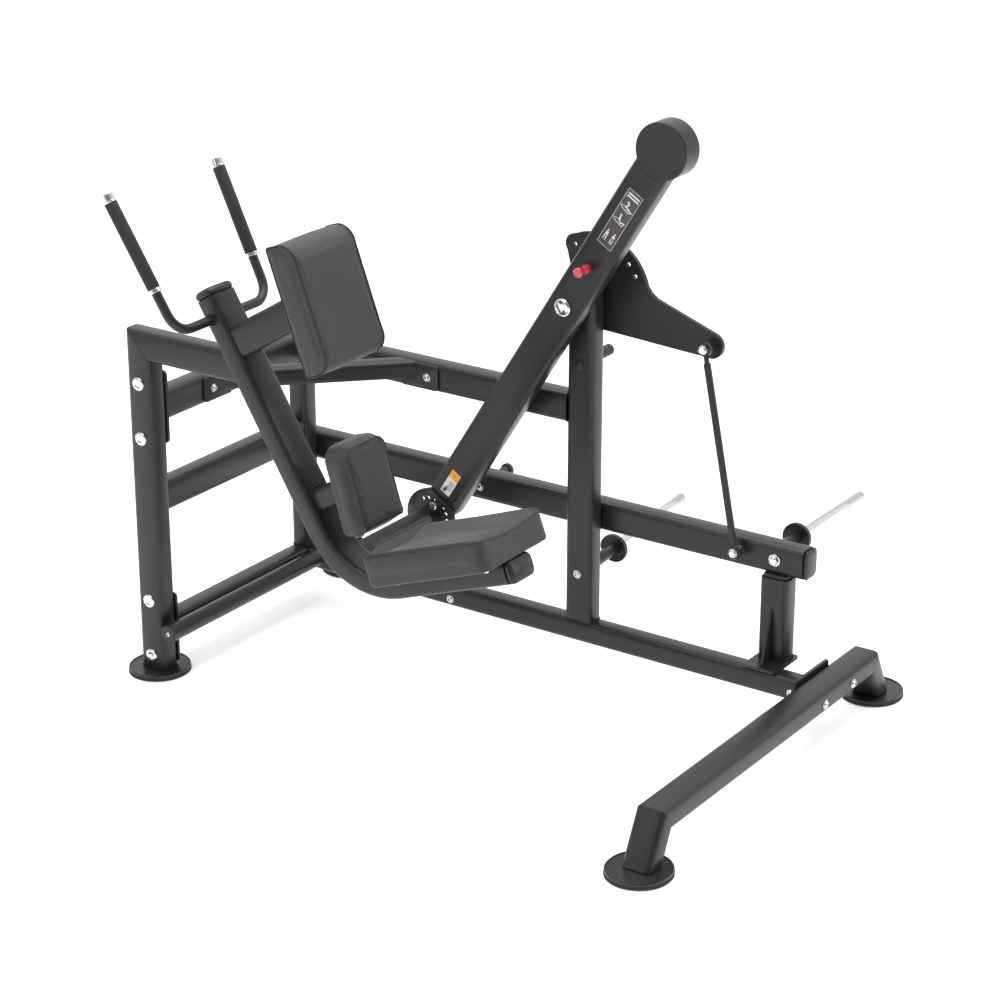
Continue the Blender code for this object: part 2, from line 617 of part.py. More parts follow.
def arc_points(centre, radius, first, last, steps):
    angles = [first + (last - first) * i / steps for i in range(steps + 1)]
    return [(centre[0] + radius * cos(a), centre[1] + radius * sin(a)) for a in angles]


def index_plate_outline():
    """Points of the index plate, relative to the pivot, in X and Z."""
    last_hole = ARM_ANGLE + HOLE_STEP * (HOLE_FIRST + HOLE_COUNT - 1)
    lobe = (PIN_RADIUS * cos(last_hole), PIN_RADIUS * sin(last_hole))
    tip = (LINK_PIVOT[0] - UPRIGHT_X, LINK_PIVOT[1] - PIVOT_Z)
    points = [(PLATE_RIM + 0.024, 0.014), (PLATE_RIM + 0.007, 0.026)]
    points += arc_points((0, 0), PLATE_RIM, radians(15), last_hole - radians(4), 16)
    points += arc_points(lobe, PLATE_RIM - PIN_RADIUS + 0.003, last_hole, last_hole + radians(100), 6)
    points += [(-0.052, -0.040), (-0.020, -0.084), (0.020, -0.095)]
    points += arc_points(tip, PLATE_TIP_R, radians(-105), radians(72), 12)
    return points


def build_index_plate():
    # the prism's second axis points down, so heights change sign
    outline = [(x, -z) for x, z in index_plate_outline()]
    start = Vector((UPRIGHT_X, PLATE_Y, PIVOT_Z))
    end = start + Vector((0, PLATE_THICK, 0))
    plate = prism("index_plate", outline, start, end, (1, 0, 0), PAINT, origin=start)
    holes = []
    for number in range(HOLE_COUNT):
        angle = ARM_ANGLE + HOLE_STEP * (HOLE_FIRST + number)
        x = UPRIGHT_X + PIN_RADIUS * cos(angle)
        z = PIVOT_Z + PIN_RADIUS * sin(angle)
        holes.append(drill(HOLE_R, x, z, PLATE_Y - 0.01, PLATE_Y + 0.03, 16))
    holes.append(drill(SHAFT_R + SHAFT_CLEAR, UPRIGHT_X, PIVOT_Z, PLATE_Y - 0.01, PLATE_Y + 0.03))
    holes.append(drill(0.0066, LINK_PIVOT[0], LINK_PIVOT[1], PLATE_Y - 0.01, PLATE_Y + 0.03))
    cut(plate, holes)


def build_link():
    """Link rod with two eyes; its upper bolt turns in the index plate."""
    upper = Vector((LINK_PIVOT[0], LINK_Y, LINK_PIVOT[1]))
    lower = Vector((LINK_FOOT[0], LINK_Y, LINK_FOOT[1]))
    run = (lower - upper).normalized()
    rod_a = upper + run * (EYE_R + GAP)
    rod_b = lower - run * (EYE_R + GAP)
    long = (rod_b - rod_a).length
    profile = [(0, 0.0065), (0.018, 0.0065), (0.018, LINK_R), (long - 0.018, LINK_R), (long - 0.018,
                                                                                       0.0065),
               (long, 0.0065)]
    turned("link_rod", profile, rod_a, run, PAINT, 20, origin=upper)
    half = EYE_THICK / 2
    for name, point in (("upper", upper), ("lower", lower)):
        rim = [(-half, EYE_R - 0.003), (-half + 0.003, EYE_R), (half - 0.003, EYE_R), (half, EYE_R - 0.003)]
        eye = turned("link_eye_" + name, rim, point, (0, 1, 0), PAINT, 28)
        cut(eye, [drill(0.0066, point.x, point.z, LINK_Y - 0.03, LINK_Y + 0.03)])
    far = PLATE_Y + PLATE_THICK + 0.006
    for name, point, end in (("upper", upper, far), ("lower", lower, LINK_Y + half)):
        start = LINK_Y - half - GAP
        head = [(-0.0075, 0.0075), (-0.0055, 0.010), (-0.002, 0.010), (-0.002, 0.012), (0, 0.012),
                (0, 0.006),
                (end - start, 0.006)]
        turned("link_bolt_" + name, head, (point.x, start, point.z), (0, 1, 0), CHROME, 24)


def build_weight_lever():
    """Long lever on the inner post that carries the weight plates."""
    lever = frame_tube("weight_lever", (LEVER_START, LEVER_Y, LEVER_Z), (LEVER_END - 0.012, LEVER_Y,
                                                                         LEVER_Z),
                       TUBE_TALL, TUBE_WIDE, (0, 0, 1), PAINT, origin=(0, LEVER_Y, LEVER_Z))
    near = LEVER_Y - TUBE_WIDE / 2
    far = LEVER_Y + TUBE_WIDE / 2
    cut(lever, [drill(0.0126, 0, LEVER_Z, near - 0.02, far + 0.02)])
    tube_plug("weight_lever_cap", (LEVER_END - 0.012 + GAP, LEVER_Y, LEVER_Z), (1, 0, 0), (0, 0, 1),
              TUBE_TALL,
              TUBE_WIDE, 0.012, MOULDING)
    post_far = MAIN_PLANE + TUBE_WIDE / 2
    turned("lever_shaft", [(0, 0.012), (far + 0.004 - post_far, 0.012), (far + 0.004 - post_far, 0.018),
                           (far + 0.010 - post_far, 0.018)], (0, post_far + GAP, LEVER_Z), (0, 1,
                                                                                            0), STEEL, 24)
    stand = 0.100
    turned("weight_horn", [(0, 0.016), (stand, 0.016), (stand, HORN_FLANGE_R), (stand + 0.012,
                                                                                HORN_FLANGE_R),
                           (stand + 0.012, HORN_R), (stand + HORN_LONG, HORN_R),
                           (stand + HORN_LONG + 0.003, HORN_R - 0.003)],
           (HORN_X, far + GAP, LEVER_Z), (0, 1, 0), CHROME, 24)
    turned("band_peg", [(0, 0.013), (0.080, 0.013), (0.080, 0.0185), (0.092, 0.0185), (0.096, 0.014)],
           (0.565, far + GAP, LEVER_Z), (0, 1, 0), RUBBER, 24)
    eye_far = LINK_Y + EYE_THICK / 2
    turned("link_stud", [(0, 0.011), (near - eye_far - 0.0008, 0.011)],
           (LINK_FOOT[0], near - GAP, LINK_FOOT[1]), (0, -1, 0), STEEL, 20)


def main():
    clear_scene()
    make_materials()
    build_rear_end()
    build_main_frame()
    build_seat_frame()
    build_handles()
    build_arm()
    build_index_plate()
    build_link()
    build_weight_lever()


main()
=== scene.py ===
"""Kneeling rear-kick gym machine: the finished surfaces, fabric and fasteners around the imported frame."""

import json
from math import cos, pi, radians, sin

import bmesh
import bpy
from mathutils import Matrix, Vector
from mathutils.bvhtree import BVHTree


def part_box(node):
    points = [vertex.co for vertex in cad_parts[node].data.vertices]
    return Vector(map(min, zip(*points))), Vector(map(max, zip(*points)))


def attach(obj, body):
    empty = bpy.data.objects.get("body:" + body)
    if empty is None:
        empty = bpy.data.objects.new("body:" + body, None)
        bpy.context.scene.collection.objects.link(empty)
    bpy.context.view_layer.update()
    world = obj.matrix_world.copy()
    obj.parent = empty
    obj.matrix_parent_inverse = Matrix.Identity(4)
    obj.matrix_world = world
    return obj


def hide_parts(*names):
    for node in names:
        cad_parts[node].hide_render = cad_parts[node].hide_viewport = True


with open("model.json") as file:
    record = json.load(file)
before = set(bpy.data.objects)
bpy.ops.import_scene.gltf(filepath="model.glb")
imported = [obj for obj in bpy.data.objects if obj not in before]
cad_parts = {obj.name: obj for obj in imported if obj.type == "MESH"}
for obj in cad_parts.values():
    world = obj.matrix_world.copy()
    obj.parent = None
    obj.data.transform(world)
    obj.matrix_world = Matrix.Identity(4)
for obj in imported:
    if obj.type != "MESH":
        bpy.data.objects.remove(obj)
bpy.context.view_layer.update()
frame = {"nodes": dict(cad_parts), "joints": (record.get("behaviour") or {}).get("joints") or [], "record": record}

X_AXIS = Vector((1, 0, 0))
Y_AXIS = Vector((0, 1, 0))
Z_AXIS = Vector((0, 0, 1))
PAINT_SLOT = "textured_black_paint"


def linked(name, data):
    """A new object in the scene that shows some data."""
    made = bpy.data.objects.new(name, data)
    bpy.context.scene.collection.objects.link(made)
    return made


def plain_copy(piece):
    """The mesh that a piece's modifiers give, as plain data."""
    graph = bpy.context.evaluated_depsgraph_get()
    return bpy.data.meshes.new_from_object(piece.evaluated_get(graph), depsgraph=graph)


# ---------------------------------------------------------------- camera
# A long lens stands off the machine's near right corner, a little above
# head height, and looks down at the middle of the frame.
CAMERA_SPOT = Vector((4.615, -5.123, 3.197))
CAMERA_TURN = radians(34.374)
CAMERA_DIP = radians(21.609)
LENS = 100.46

look = Vector((-sin(CAMERA_TURN) * cos(CAMERA_DIP),
               cos(CAMERA_TURN) * cos(CAMERA_DIP),
               -sin(CAMERA_DIP)))
camera_data = bpy.data.cameras.new("camera")
camera_data.lens = LENS
camera_data.sensor_width = 36
camera_data.clip_end = 60
camera = linked("camera", camera_data)
camera.rotation_euler = look.to_track_quat("-Z", "Y").to_euler()
camera.location = CAMERA_SPOT
bpy.context.scene.camera = camera


# ------------------------------------------------------- painted steelwork
# Rounded rectangular tube, bent or mitred and welded, then powder coated in
# a fine-textured dark grey that catches a soft light along every corner.
class Socket:
    """One output of a shader node; plain arithmetic on it adds Math nodes."""

    def __init__(self, tree, link):
        self.tree = tree
        self.link = link

    def math(self, operation, first, second=0.0):
        return add_node(self.tree, "ShaderNodeMath", {"operation": operation}, {0: first, 1: second})[0]

    def __add__(self, other):
        return self.math("ADD", self, other)

    def __radd__(self, other):
        return self.math("ADD", other, self)

    def __sub__(self, other):
        return self.math("SUBTRACT", self, other)

    def __rsub__(self, other):
        return self.math("SUBTRACT", other, self)

    def __mul__(self, other):
        return self.math("MULTIPLY", self, other)


def add_node(tree, kind, settings=None, values=None):
    """Any node: its settings first, then the values or links of its sockets. Returns its outputs."""
    made = tree.nodes.new(kind)
    for key, value in (settings or {}).items():
        setattr(made, key, value)
    for key, value in (values or {}).items():
        if isinstance(value, Socket):
            tree.links.new(value.link, made.inputs[key])
        else:
            made.inputs[key].default_value = value
    return [Socket(tree, output) for output in made.outputs]


def new_finish(name, **constants):
    """A Principled material; returns it, its tree and Object coordinates."""
    made = bpy.data.materials.new(name)
    made.use_nodes = True
    shader = made.node_tree.nodes["Principled BSDF"]
    for key, value in constants.items():
        shader.inputs[key.replace("_", " ").title().replace("Ior", "IOR")].default_value = value
    place = add_node(made.node_tree, "ShaderNodeTexCoord")[3]
    return made, made.node_tree, place


def feed(finish, **links):
    shader = finish.node_tree.nodes["Principled BSDF"]
    for key, value in links.items():
        finish.node_tree.links.new(value.link, shader.inputs[key.replace("_", " ").title()])


def grain(tree, place, scale, detail):
    return add_node(tree, "ShaderNodeTexNoise", {}, {"Vector": place, "Scale": scale, "Detail": detail})[0]


def between(tree, factor, low, high):
    ends = {0: factor, 6: (*low, 1), 7: (*high, 1)}
    return add_node(tree, "ShaderNodeMix", {"data_type": "RGBA"}, ends)[2]


def bump(tree, height, depth, strength):
    values = {"Height": height, "Distance": depth, "Strength": strength}
    return add_node(tree, "ShaderNodeBump", {}, values)[0]


def make_paint():
    """Powder coat: orange-peel and fine grit over a slightly uneven grey."""
    finish, tree, place = new_finish("textured_powder_coat", specular_ior_level=0.36)
    grit = grain(tree, place, 1500.0, 3.0)
    peel = grain(tree, place, 260.0, 2.0)
    drift = grain(tree, place, 6.0, 3.0)
    patch = drift * 0.7 + grit * 0.3
    feed(finish, base_color=between(tree, patch, (0.012, 0.012, 0.013), (0.019, 0.019, 0.020)),
         roughness=0.27 + grit * 0.16 - drift * 0.06,
         normal=bump(tree, grit * 0.55 + peel, 0.00035, 0.55))
    return finish


PAINT = make_paint()


def keep_smooth(mesh, angle=34):
    mesh.shade_smooth()
    mesh.set_sharp_from_angle(angle=radians(angle))


def show(name, mesh, finish, body, stands_for=()):
    """Adds a finished mesh as a piece that rides on a body."""
    mesh.materials.clear()
    mesh.materials.append(finish)
    piece = linked(name, mesh)
    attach(piece, body)
    if stands_for:
        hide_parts(*stands_for)
    return piece


BODIES = frame["record"]["behaviour"]["bodies"]
BODY_OF = {node: body for body, nodes in BODIES.items() for node in nodes}


def dress(node, finish, edge=0.0007):
    """A merged copy of a frame node with eased edges and smooth corners."""
    mesh = frame["nodes"][node].data.copy()
    mesh.name = node
    work = bmesh.new()
    work.from_mesh(mesh)
    bmesh.ops.remove_doubles(work, verts=work.verts, dist=1e-5)
    bmesh.ops.dissolve_limit(work, angle_limit=radians(1), verts=work.verts, edges=work.edges)
    work.to_mesh(mesh)
    work.free()
    keep_smooth(mesh, 40)
    piece = show(node + "_shown", mesh, finish, BODY_OF[node], (node,))
    ease = piece.modifiers.new("eased_edges", "BEVEL")
    ease.width = edge
    ease.segments = 2
    ease.limit_method = "ANGLE"
    ease.angle_limit = radians(50)
    ease.harden_normals = True
    return piece


STEELWORK = """rear_post rear_top_rail upper_side_flange upper_side_tube base_side_flange base_side_tube
    middle_side_tube side_leg foot_bar inner_post upper_rail base_rail main_upright cross_leg_near
    cross_leg_far cross_base corner_brace stop_base stop_post seat_frame chest_pad_bracket
    knee_pad_bracket handle_near handle_far swing_arm counterweight foot_sector index_plate link_rod
    link_eye_upper link_eye_lower weight_lever foot_tube""".split()
for steel_node in STEELWORK:
    dress(steel_node, PAINT)


# ------------------------------------------------------------------ welds
# A narrow bead of overlapping ripples runs round each joint of the tubes
# and is coated with them, so it shows only as a soft ribbed fillet.
def geometry_tree(name, inputs):
    """A Geometry Nodes tree with named inputs; returns it with its input and output nodes."""
    tree = bpy.data.node_groups.new(name, "GeometryNodeTree")
    tree.interface.new_socket("Geometry", in_out="INPUT", socket_type="NodeSocketGeometry")
    for label, kind in inputs:
        tree.interface.new_socket(label, in_out="INPUT", socket_type=kind)
    tree.interface.new_socket("Geometry", in_out="OUTPUT", socket_type="NodeSocketGeometry")
    return tree, tree.nodes.new("NodeGroupInput"), tree.nodes.new("NodeGroupOutput")


def geometry_node(tree, kind, settings=None, links=None):
    made = tree.nodes.new(kind)
    for key, value in (settings or {}).items():
        setattr(made, key, value)
    for key, value in (links or {}).items():
        if isinstance(value, bpy.types.NodeSocket):
            tree.links.new(value, made.inputs[key])
        else:
            made.inputs[key].default_value = value
    return made


def close_tree(tree, given, result, placed):
    """Turns a tree's instances into plain mesh, coats it and sends it out."""
    real = geometry_node(tree, "GeometryNodeRealizeInstances", None, {0: placed.outputs[0]})
    coated = geometry_node(tree, "GeometryNodeSetMaterial", None,
                           {"Geometry": real.outputs[0], "Material": given.outputs["Finish"]})
    tree.links.new(coated.outputs[0], result.inputs["Geometry"])
    return tree


def spaced_tree(name, inputs, make_part, axis="Z", scale=(1.0, 1.0, 1.0)):
    """A tree that sets one part at even steps along the base mesh's edges, turned to follow them."""
    tree, given, result = geometry_tree(name, (("Pitch", "NodeSocketFloat"), *inputs,
                                               ("Finish", "NodeSocketMaterial")))
    run = geometry_node(tree, "GeometryNodeMeshToCurve", None, {"Mesh": given.outputs["Geometry"]})
    even = geometry_node(tree, "GeometryNodeResampleCurve", {"mode": "LENGTH"},
                         {"Curve": run.outputs[0], "Length": given.outputs["Pitch"]})
    tangent = geometry_node(tree, "GeometryNodeInputTangent")
    turn = geometry_node(tree, "FunctionNodeAlignRotationToVector", {"axis": axis},
                         {"Vector": tangent.outputs[0]})
    placed = geometry_node(tree, "GeometryNodeInstanceOnPoints", None, {
        "Points": even.outputs[0], "Instance": make_part(tree, given), "Rotation": turn.outputs[0],
        "Scale": scale})
    return close_tree(tree, given, result, placed)


def grow(name, base_mesh, tree, values, body):
    """Runs a tree on a base mesh and keeps the plain mesh that comes out."""
    holder = linked(name + "_base", base_mesh)
    modifier = holder.modifiers.new("grow", "NODES")
    modifier.node_group = tree
    for item in tree.interface.items_tree:
        if item.in_out == "INPUT" and item.name in values:
            modifier[item.identifier] = values[item.name]
    made = plain_copy(holder)
    made.name = name
    bpy.data.objects.remove(holder)
    made.polygons.foreach_set("material_index", [0] * len(made.polygons))
    keep_smooth(made, 50)
    return show(name, made, values["Finish"], body)


def weld_ripple(tree, given):
    ripple = geometry_node(tree, "GeometryNodeMeshUVSphere", None,
                           {"Segments": 8, "Rings": 4, "Radius": given.outputs["Radius"]})
    return ripple.outputs["Mesh"]


def arcs(corners, steps):
    """Outline through quarter turns: each corner is its centre, radius and first angle."""
    points = []
    for cx, cy, radius, start in corners:
        for step in range(steps + 1):
            angle = start + pi / 2 * step / steps
            points.append((cx + radius * cos(angle), cy + radius * sin(angle)))
    return points


def rounded(width, height, radius):
    cx = width / 2 - radius
    cy = height / 2 - radius
    return arcs(((cx, cy, radius, 0), (-cx, cy, radius, pi / 2), (-cx, -cy, radius, pi),
                 (cx, -cy, radius, 3 * pi / 2)), 4)


def frame_of(axis, across):
    axis = Vector(axis).normalized()
    across = Vector(across)
    across = (across - axis * across.dot(axis)).normalized()
    return axis, across, axis.cross(across)


def loops_mesh(name, loops):
    """Closed rings of edges. Each loop is centre, axis, across, width, height, corner radius, cut."""
    verts = []
    edges = []
    for centre, axis, across, width, height, radius, cut in loops:
        axis, u, v = frame_of(axis, across)
        cut = Vector(cut) if cut else axis
        first = len(verts)
        outline = rounded(width, height, radius)
        for a, b in outline:
            offset = u * a + v * b
            verts.append(Vector(centre) + offset - axis * (offset.dot(cut) / axis.dot(cut)))
        count = len(outline)
        edges += [(first + i, first + (i + 1) % count) for i in range(count)]
    mesh = bpy.data.meshes.new(name)
    mesh.from_pydata(verts, edges, [])
    return mesh


BEAD = 0.0022
CORNER = 0.015
TUBE_TALL = 0.080
TUBE_WIDE = 0.060
WELD_OVER = 0.001


def square_weld(node, end, axis, across, width, height, cut=None):
    """A weld round the low or high end of a straight tube, along one world axis."""
    low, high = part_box(node)
    spot = (low + high) / 2
    number = max(range(3), key=lambda i: abs(axis[i]))
    spot[number] = (low, high)[end][number]
    return (spot, axis, across, width + WELD_OVER, height + WELD_OVER, CORNER, cut)


SEAT_LEAN = radians(31.3)
SEAT_RISE = radians(19.8)
RUN_FACE = Vector((cos(SEAT_LEAN), 0, sin(SEAT_LEAN)))
SEAT_CORNER = Vector((0.673, 0, 0.398))


def bracket_weld(node, size):
    low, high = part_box(node)
    middle = (low + high) / 2
    reach = (middle - SEAT_CORNER).dot(RUN_FACE) - 0.030
    return (middle - RUN_FACE * reach, RUN_FACE, Y_AXIS, size + WELD_OVER, size + WELD_OVER, CORNER, None)


frame_welds = [
    square_weld("main_upright", 0, Z_AXIS, X_AXIS, TUBE_TALL, TUBE_WIDE),
    square_weld("inner_post", 0, Z_AXIS, X_AXIS, TUBE_WIDE, TUBE_WIDE),
    square_weld("upper_rail", 0, X_AXIS, Z_AXIS, TUBE_TALL, TUBE_WIDE),
    square_weld("upper_rail", 1, X_AXIS, Z_AXIS, TUBE_TALL, TUBE_WIDE),
    square_weld("base_rail", 0, X_AXIS, Z_AXIS, TUBE_WIDE, TUBE_WIDE),
    square_weld("upper_side_tube", 0, Y_AXIS, Z_AXIS, TUBE_TALL, TUBE_WIDE),
    square_weld("upper_side_tube", 1, Y_AXIS, Z_AXIS, TUBE_TALL, TUBE_WIDE),
    square_weld("base_side_tube", 0, Y_AXIS, Z_AXIS, TUBE_WIDE, TUBE_WIDE),
    square_weld("middle_side_tube", 0, Y_AXIS, Z_AXIS, TUBE_TALL, TUBE_WIDE),
    square_weld("middle_side_tube", 1, Y_AXIS, Z_AXIS, TUBE_TALL, TUBE_WIDE),
    square_weld("stop_post", 0, Z_AXIS, X_AXIS, TUBE_TALL, TUBE_WIDE),
    square_weld("rear_post", 0, Z_AXIS, X_AXIS, TUBE_TALL, TUBE_WIDE),
    bracket_weld("chest_pad_bracket", 0.070),
    bracket_weld("knee_pad_bracket", 0.060),
]
rail_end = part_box("rear_top_rail")
rail_spot = Vector((rail_end[1].x - 0.0245, 0, (rail_end[0].z + rail_end[1].z) / 2))
frame_welds.append((rail_spot, X_AXIS, Z_AXIS, TUBE_TALL + WELD_OVER, TUBE_WIDE + WELD_OVER, CORNER,
                    RUN_FACE))
HANDLE_BAR = (0.270, 1.049)
HANDLE_WELD = 0.026
for side in (-1, 1):
    handle_spot = Vector((HANDLE_BAR[0], side * 0.0485, HANDLE_BAR[1]))
    frame_welds.append((handle_spot, Y_AXIS, Z_AXIS, HANDLE_WELD, HANDLE_WELD, 0.0129, None))
WELD = spaced_tree("weld_bead", (("Radius", "NodeSocketFloat"),), weld_ripple, scale=(1.0, 1.0, 0.75))
grow("frame_welds", loops_mesh("frame_weld_paths", frame_welds), WELD,
     {"Pitch": 0.0026, "Radius": BEAD, "Finish": PAINT}, "frame")


# ------------------------------------------------------------- studio
# A pale seamless floor under a white sky that is brightest behind the
# machine, with soft lights from the user's side, the top and the far end.
def make_light(name, spot, size, power):
    data = bpy.data.lights.new(name, "AREA")
    data.size = size
    data.energy = power
    light = linked(name, data)
    light.location = spot
    aim = Vector((0.8, 0.3, 0.6)) - Vector(spot)
    light.rotation_euler = aim.to_track_quat("-Z", "Y").to_euler()


FLOOR_HALF = 60.0
FLOOR_Z = -0.0006
floor_mesh = bpy.data.meshes.new("floor")
corners = [(x * FLOOR_HALF, y * FLOOR_HALF, FLOOR_Z) for x, y in ((-1, -1), (1, -1), (1, 1), (-1, 1))]
floor_mesh.from_pydata(corners, [], [(0, 1, 2, 3)])
FLOOR_FINISH = new_finish("pale_floor", base_color=(0.93, 0.93, 0.93, 1), roughness=0.9,
                          specular_ior_level=0.1, emission_color=(1, 1, 1, 1), emission_strength=0.36)[0]
floor_mesh.materials.append(FLOOR_FINISH)
floor = linked("floor", floor_mesh)
make_light("key_light", (-0.8, -4.2, 3.6), 3.0, 70)
make_light("top_light", (0.6, 0.8, 4.5), 4.0, 150)
make_light("end_light", (5.0, 1.8, 2.6), 2.5, 50)
sky = bpy.data.worlds.new("white_sky")
sky.use_nodes = True
sky_tree = sky.node_tree
backdrop = sky_tree.nodes["Background"]
backdrop.inputs["Color"].default_value = (1.0, 1.0, 1.0, 1)
heading = add_node(sky_tree, "ShaderNodeTexCoord")[0]
facing = add_node(sky_tree, "ShaderNodeVectorMath", {"operation": "DOT_PRODUCT"},
                  {0: heading, 1: (-0.50, 0.73, 0.47)})[1]
shade = add_node(sky_tree, "ShaderNodeMapRange", {}, {"Value": facing, "From Min": -0.6, "From Max": 0.6,
                                                      "To Min": 0.30, "To Max": 1.15})[0]
sky_tree.links.new(shade.link, backdrop.inputs["Strength"])
bpy.context.scene.world = sky
bpy.context.scene.view_settings.view_transform = "Standard"


# ------------------------------------------------------------------- feet
# Each foot is an oval steel plate with a raised lip, welded to its leg and
# set in a moulded rubber sole whose lower rim is cut into small treads.
def make_rubber(name, dark, light, roughness):
    finish, tree, place = new_finish(name, specular_ior_level=0.35)
    speckle = grain(tree, place, 700.0, 3.0)
    bloom = grain(tree, place, 22.0, 4.0)
    feed(finish, base_color=between(tree, bloom * 0.8 + speckle * 0.2, dark, light),
         roughness=roughness + speckle * 0.12, normal=bump(tree, speckle, 0.0003, 0.5))
    return finish


RUBBER = make_rubber("black_rubber", (0.024, 0.024, 0.024), (0.040, 0.040, 0.040), 0.58)
FOOT_LONG = 0.170
FOOT_WIDE = 0.162
SOLE_TOP = 0.009
TREAD_PITCH = 0.0062


def stadium(inset):
    steps = 16
    radius = FOOT_WIDE / 2 - inset
    half = (FOOT_LONG - FOOT_WIDE) / 2
    points = []
    for side, start in ((1, 0), (-1, pi)):
        for step in range(steps + 1):
            angle = pi * step / steps + start
            points.append((radius * cos(angle), side * half + radius * sin(angle)))
    return points


def closed_mesh(name, verts, faces):
    """A mesh from its corners and faces, with every face turned outward."""
    mesh = bpy.data.meshes.new(name)
    mesh.from_pydata(verts, [], faces)
    work = bmesh.new()
    work.from_mesh(mesh)
    bmesh.ops.recalc_face_normals(work, faces=work.faces)
    work.to_mesh(mesh)
    work.free()
    return mesh


def band(first, second, count):
    """The four-sided faces between two rings of corners."""
    return [(first + i, first + (i + 1) % count, second + (i + 1) % count, second + i)
            for i in range(count)]


def ring_solid(name, rings):
    """Closed solid through rings of equally many points, with flat ends."""
    verts = [point for ring in rings for point in ring]
    count = len(rings[0])
    faces = []
    for level in range(len(rings) - 1):
        faces += band(level * count, (level + 1) * count, count)
    last = (len(rings) - 1) * count
    faces += [tuple(reversed(range(count))), tuple(range(last, last + count))]
    mesh = closed_mesh(name, verts, faces)
    keep_smooth(mesh)
    return mesh


def tread_block(tree, given):
    block = geometry_node(tree, "GeometryNodeMeshCube", None, {"Size": given.outputs["Block"]})
    return block.outputs["Mesh"]


def ring_edges(name, rings):
    verts = []
    edges = []
    for ring in rings:
        first = len(verts)
        verts += ring
        edges += [(first + i, first + (i + 1) % len(ring)) for i in range(len(ring))]
    mesh = bpy.data.meshes.new(name)
    mesh.from_pydata(verts, edges, [])
    return mesh


FEET = ("rear_foot", "side_foot", "cross_foot_near", "cross_foot_far")
sole_profile = ((0.0, 0.004), (0.0012, 0.0014), (SOLE_TOP - 0.001, 0.0012), (SOLE_TOP, 0.0022))
plate_profile = ((SOLE_TOP, 0.0006), (0.0148, 0.0004), (0.0162, 0.0014), (0.0162, 0.0036), (0.0140, 0.0050),
                 (0.0140, 0.030))
rim_rings = []
for foot_node in FEET:
    low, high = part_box(foot_node)
    mid_x, mid_y = (low.x + high.x) / 2, (low.y + high.y) / 2
    for part, profile, finish, slot, stands_for in (("_sole", sole_profile, RUBBER, "rubber", (foot_node,)),
                                                    ("_plate", plate_profile, PAINT, PAINT_SLOT, ())):
        rings = [[(mid_x + a, mid_y + b, z) for a, b in stadium(inset)] for z, inset in profile]
        show(foot_node + part, ring_solid(foot_node + part, rings), finish, "frame", stands_for)
    rim_rings.append([(mid_x + a, mid_y + b, 0.0036) for a, b in stadium(0.0014)])
TREADS = spaced_tree("sole_treads", (("Block", "NodeSocketVector"),), tread_block, "X")
grow("sole_treads", ring_edges("tread_rims", rim_rings), TREADS,
     {"Pitch": TREAD_PITCH, "Block": (0.0036, 0.0040, 0.0070), "Finish": RUBBER}, "frame")


# ------------------------------------------------- joint plates and gusset
# Flat steel plates between bolted members: one pair where the base rail
# meets the cross base, two on the corner brace, and a rib on the stop post.
def plate_between(name, low, high, thin):
    """Flat plate with rounded corners between two opposite corners; thin is its thin axis."""
    low, high = Vector(low), Vector(high)
    middle = (low + high) / 2
    size = high - low
    axis = (X_AXIS, Y_AXIS, Z_AXIS)[thin]
    across_number = (thin + 1) % 3
    other_number = (thin + 2) % 3
    outline = rounded(size[across_number], size[other_number], 0.008)
    rings = []
    for step, inset in ((-0.5, 0.0008), (-0.42, 0), (0.42, 0), (0.5, 0.0008)):
        ring = []
        for a, b in outline:
            point = middle + axis * size[thin] * step
            point[across_number] += a * (1 - 2 * inset / size[across_number])
            point[other_number] += b * (1 - 2 * inset / size[other_number])
            ring.append(tuple(point))
        rings.append(ring)
    return ring_solid(name, rings)


JOINT_PLATES = (
    ("rail_joint_plate", (1.6065, 0.588, 0.086), (1.6155, 0.768, 0.159), 0),
    ("brace_plate_near", (0.0302, 0.188, 0.712), (0.0362, 0.300, 0.781), 0),
    ("brace_plate_far", (0.372, 0.6090, 0.712), (0.492, 0.6148, 0.781), 1),
)
for plate_name, low, high, thin in JOINT_PLATES:
    show(plate_name, plate_between(plate_name, low, high, thin), PAINT, "frame")
post_low, post_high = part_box("stop_post")
RIB_TALL = 0.150
RIB_DEEP = 0.046
RIB_HALF = 0.003
rib_x = (post_low.x + post_high.x) / 2
rib_profile = ((post_low.y + 0.004, post_low.z), (post_low.y - RIB_DEEP, post_low.z),
               (post_low.y - RIB_DEEP, post_low.z + 0.006), (post_low.y + 0.0005, post_low.z + RIB_TALL),
               (post_low.y + 0.004, post_low.z + RIB_TALL))
rib_rings = [[(rib_x + side * RIB_HALF, y, z) for y, z in rib_profile] for side in (-1, 1)]
show("stop_post_rib", ring_solid("stop_post_rib", rib_rings), PAINT, "frame")


# -------------------------------------------------------------- fasteners
# Chromed steel: four broad capped bolts up the rear post, button-headed
# screws with hexagon sockets on washers elsewhere, and a few hexagon heads.
def make_metal(name, colour, roughness):
    finish, tree, place = new_finish(name, metallic=1.0)
    haze = grain(tree, place, 90.0, 3.0)
    fine = grain(tree, place, 1400.0, 2.0)
    feed(finish, base_color=between(tree, haze, colour, tuple(c * 0.9 for c in colour)),
         roughness=roughness + haze * 0.08, normal=bump(tree, fine, 0.00008, 0.25))
    return finish


CHROME = make_metal("polished_chrome", (0.66, 0.66, 0.68), 0.07)
ZINC = make_metal("turned_zinc", (0.62, 0.62, 0.64), 0.24)


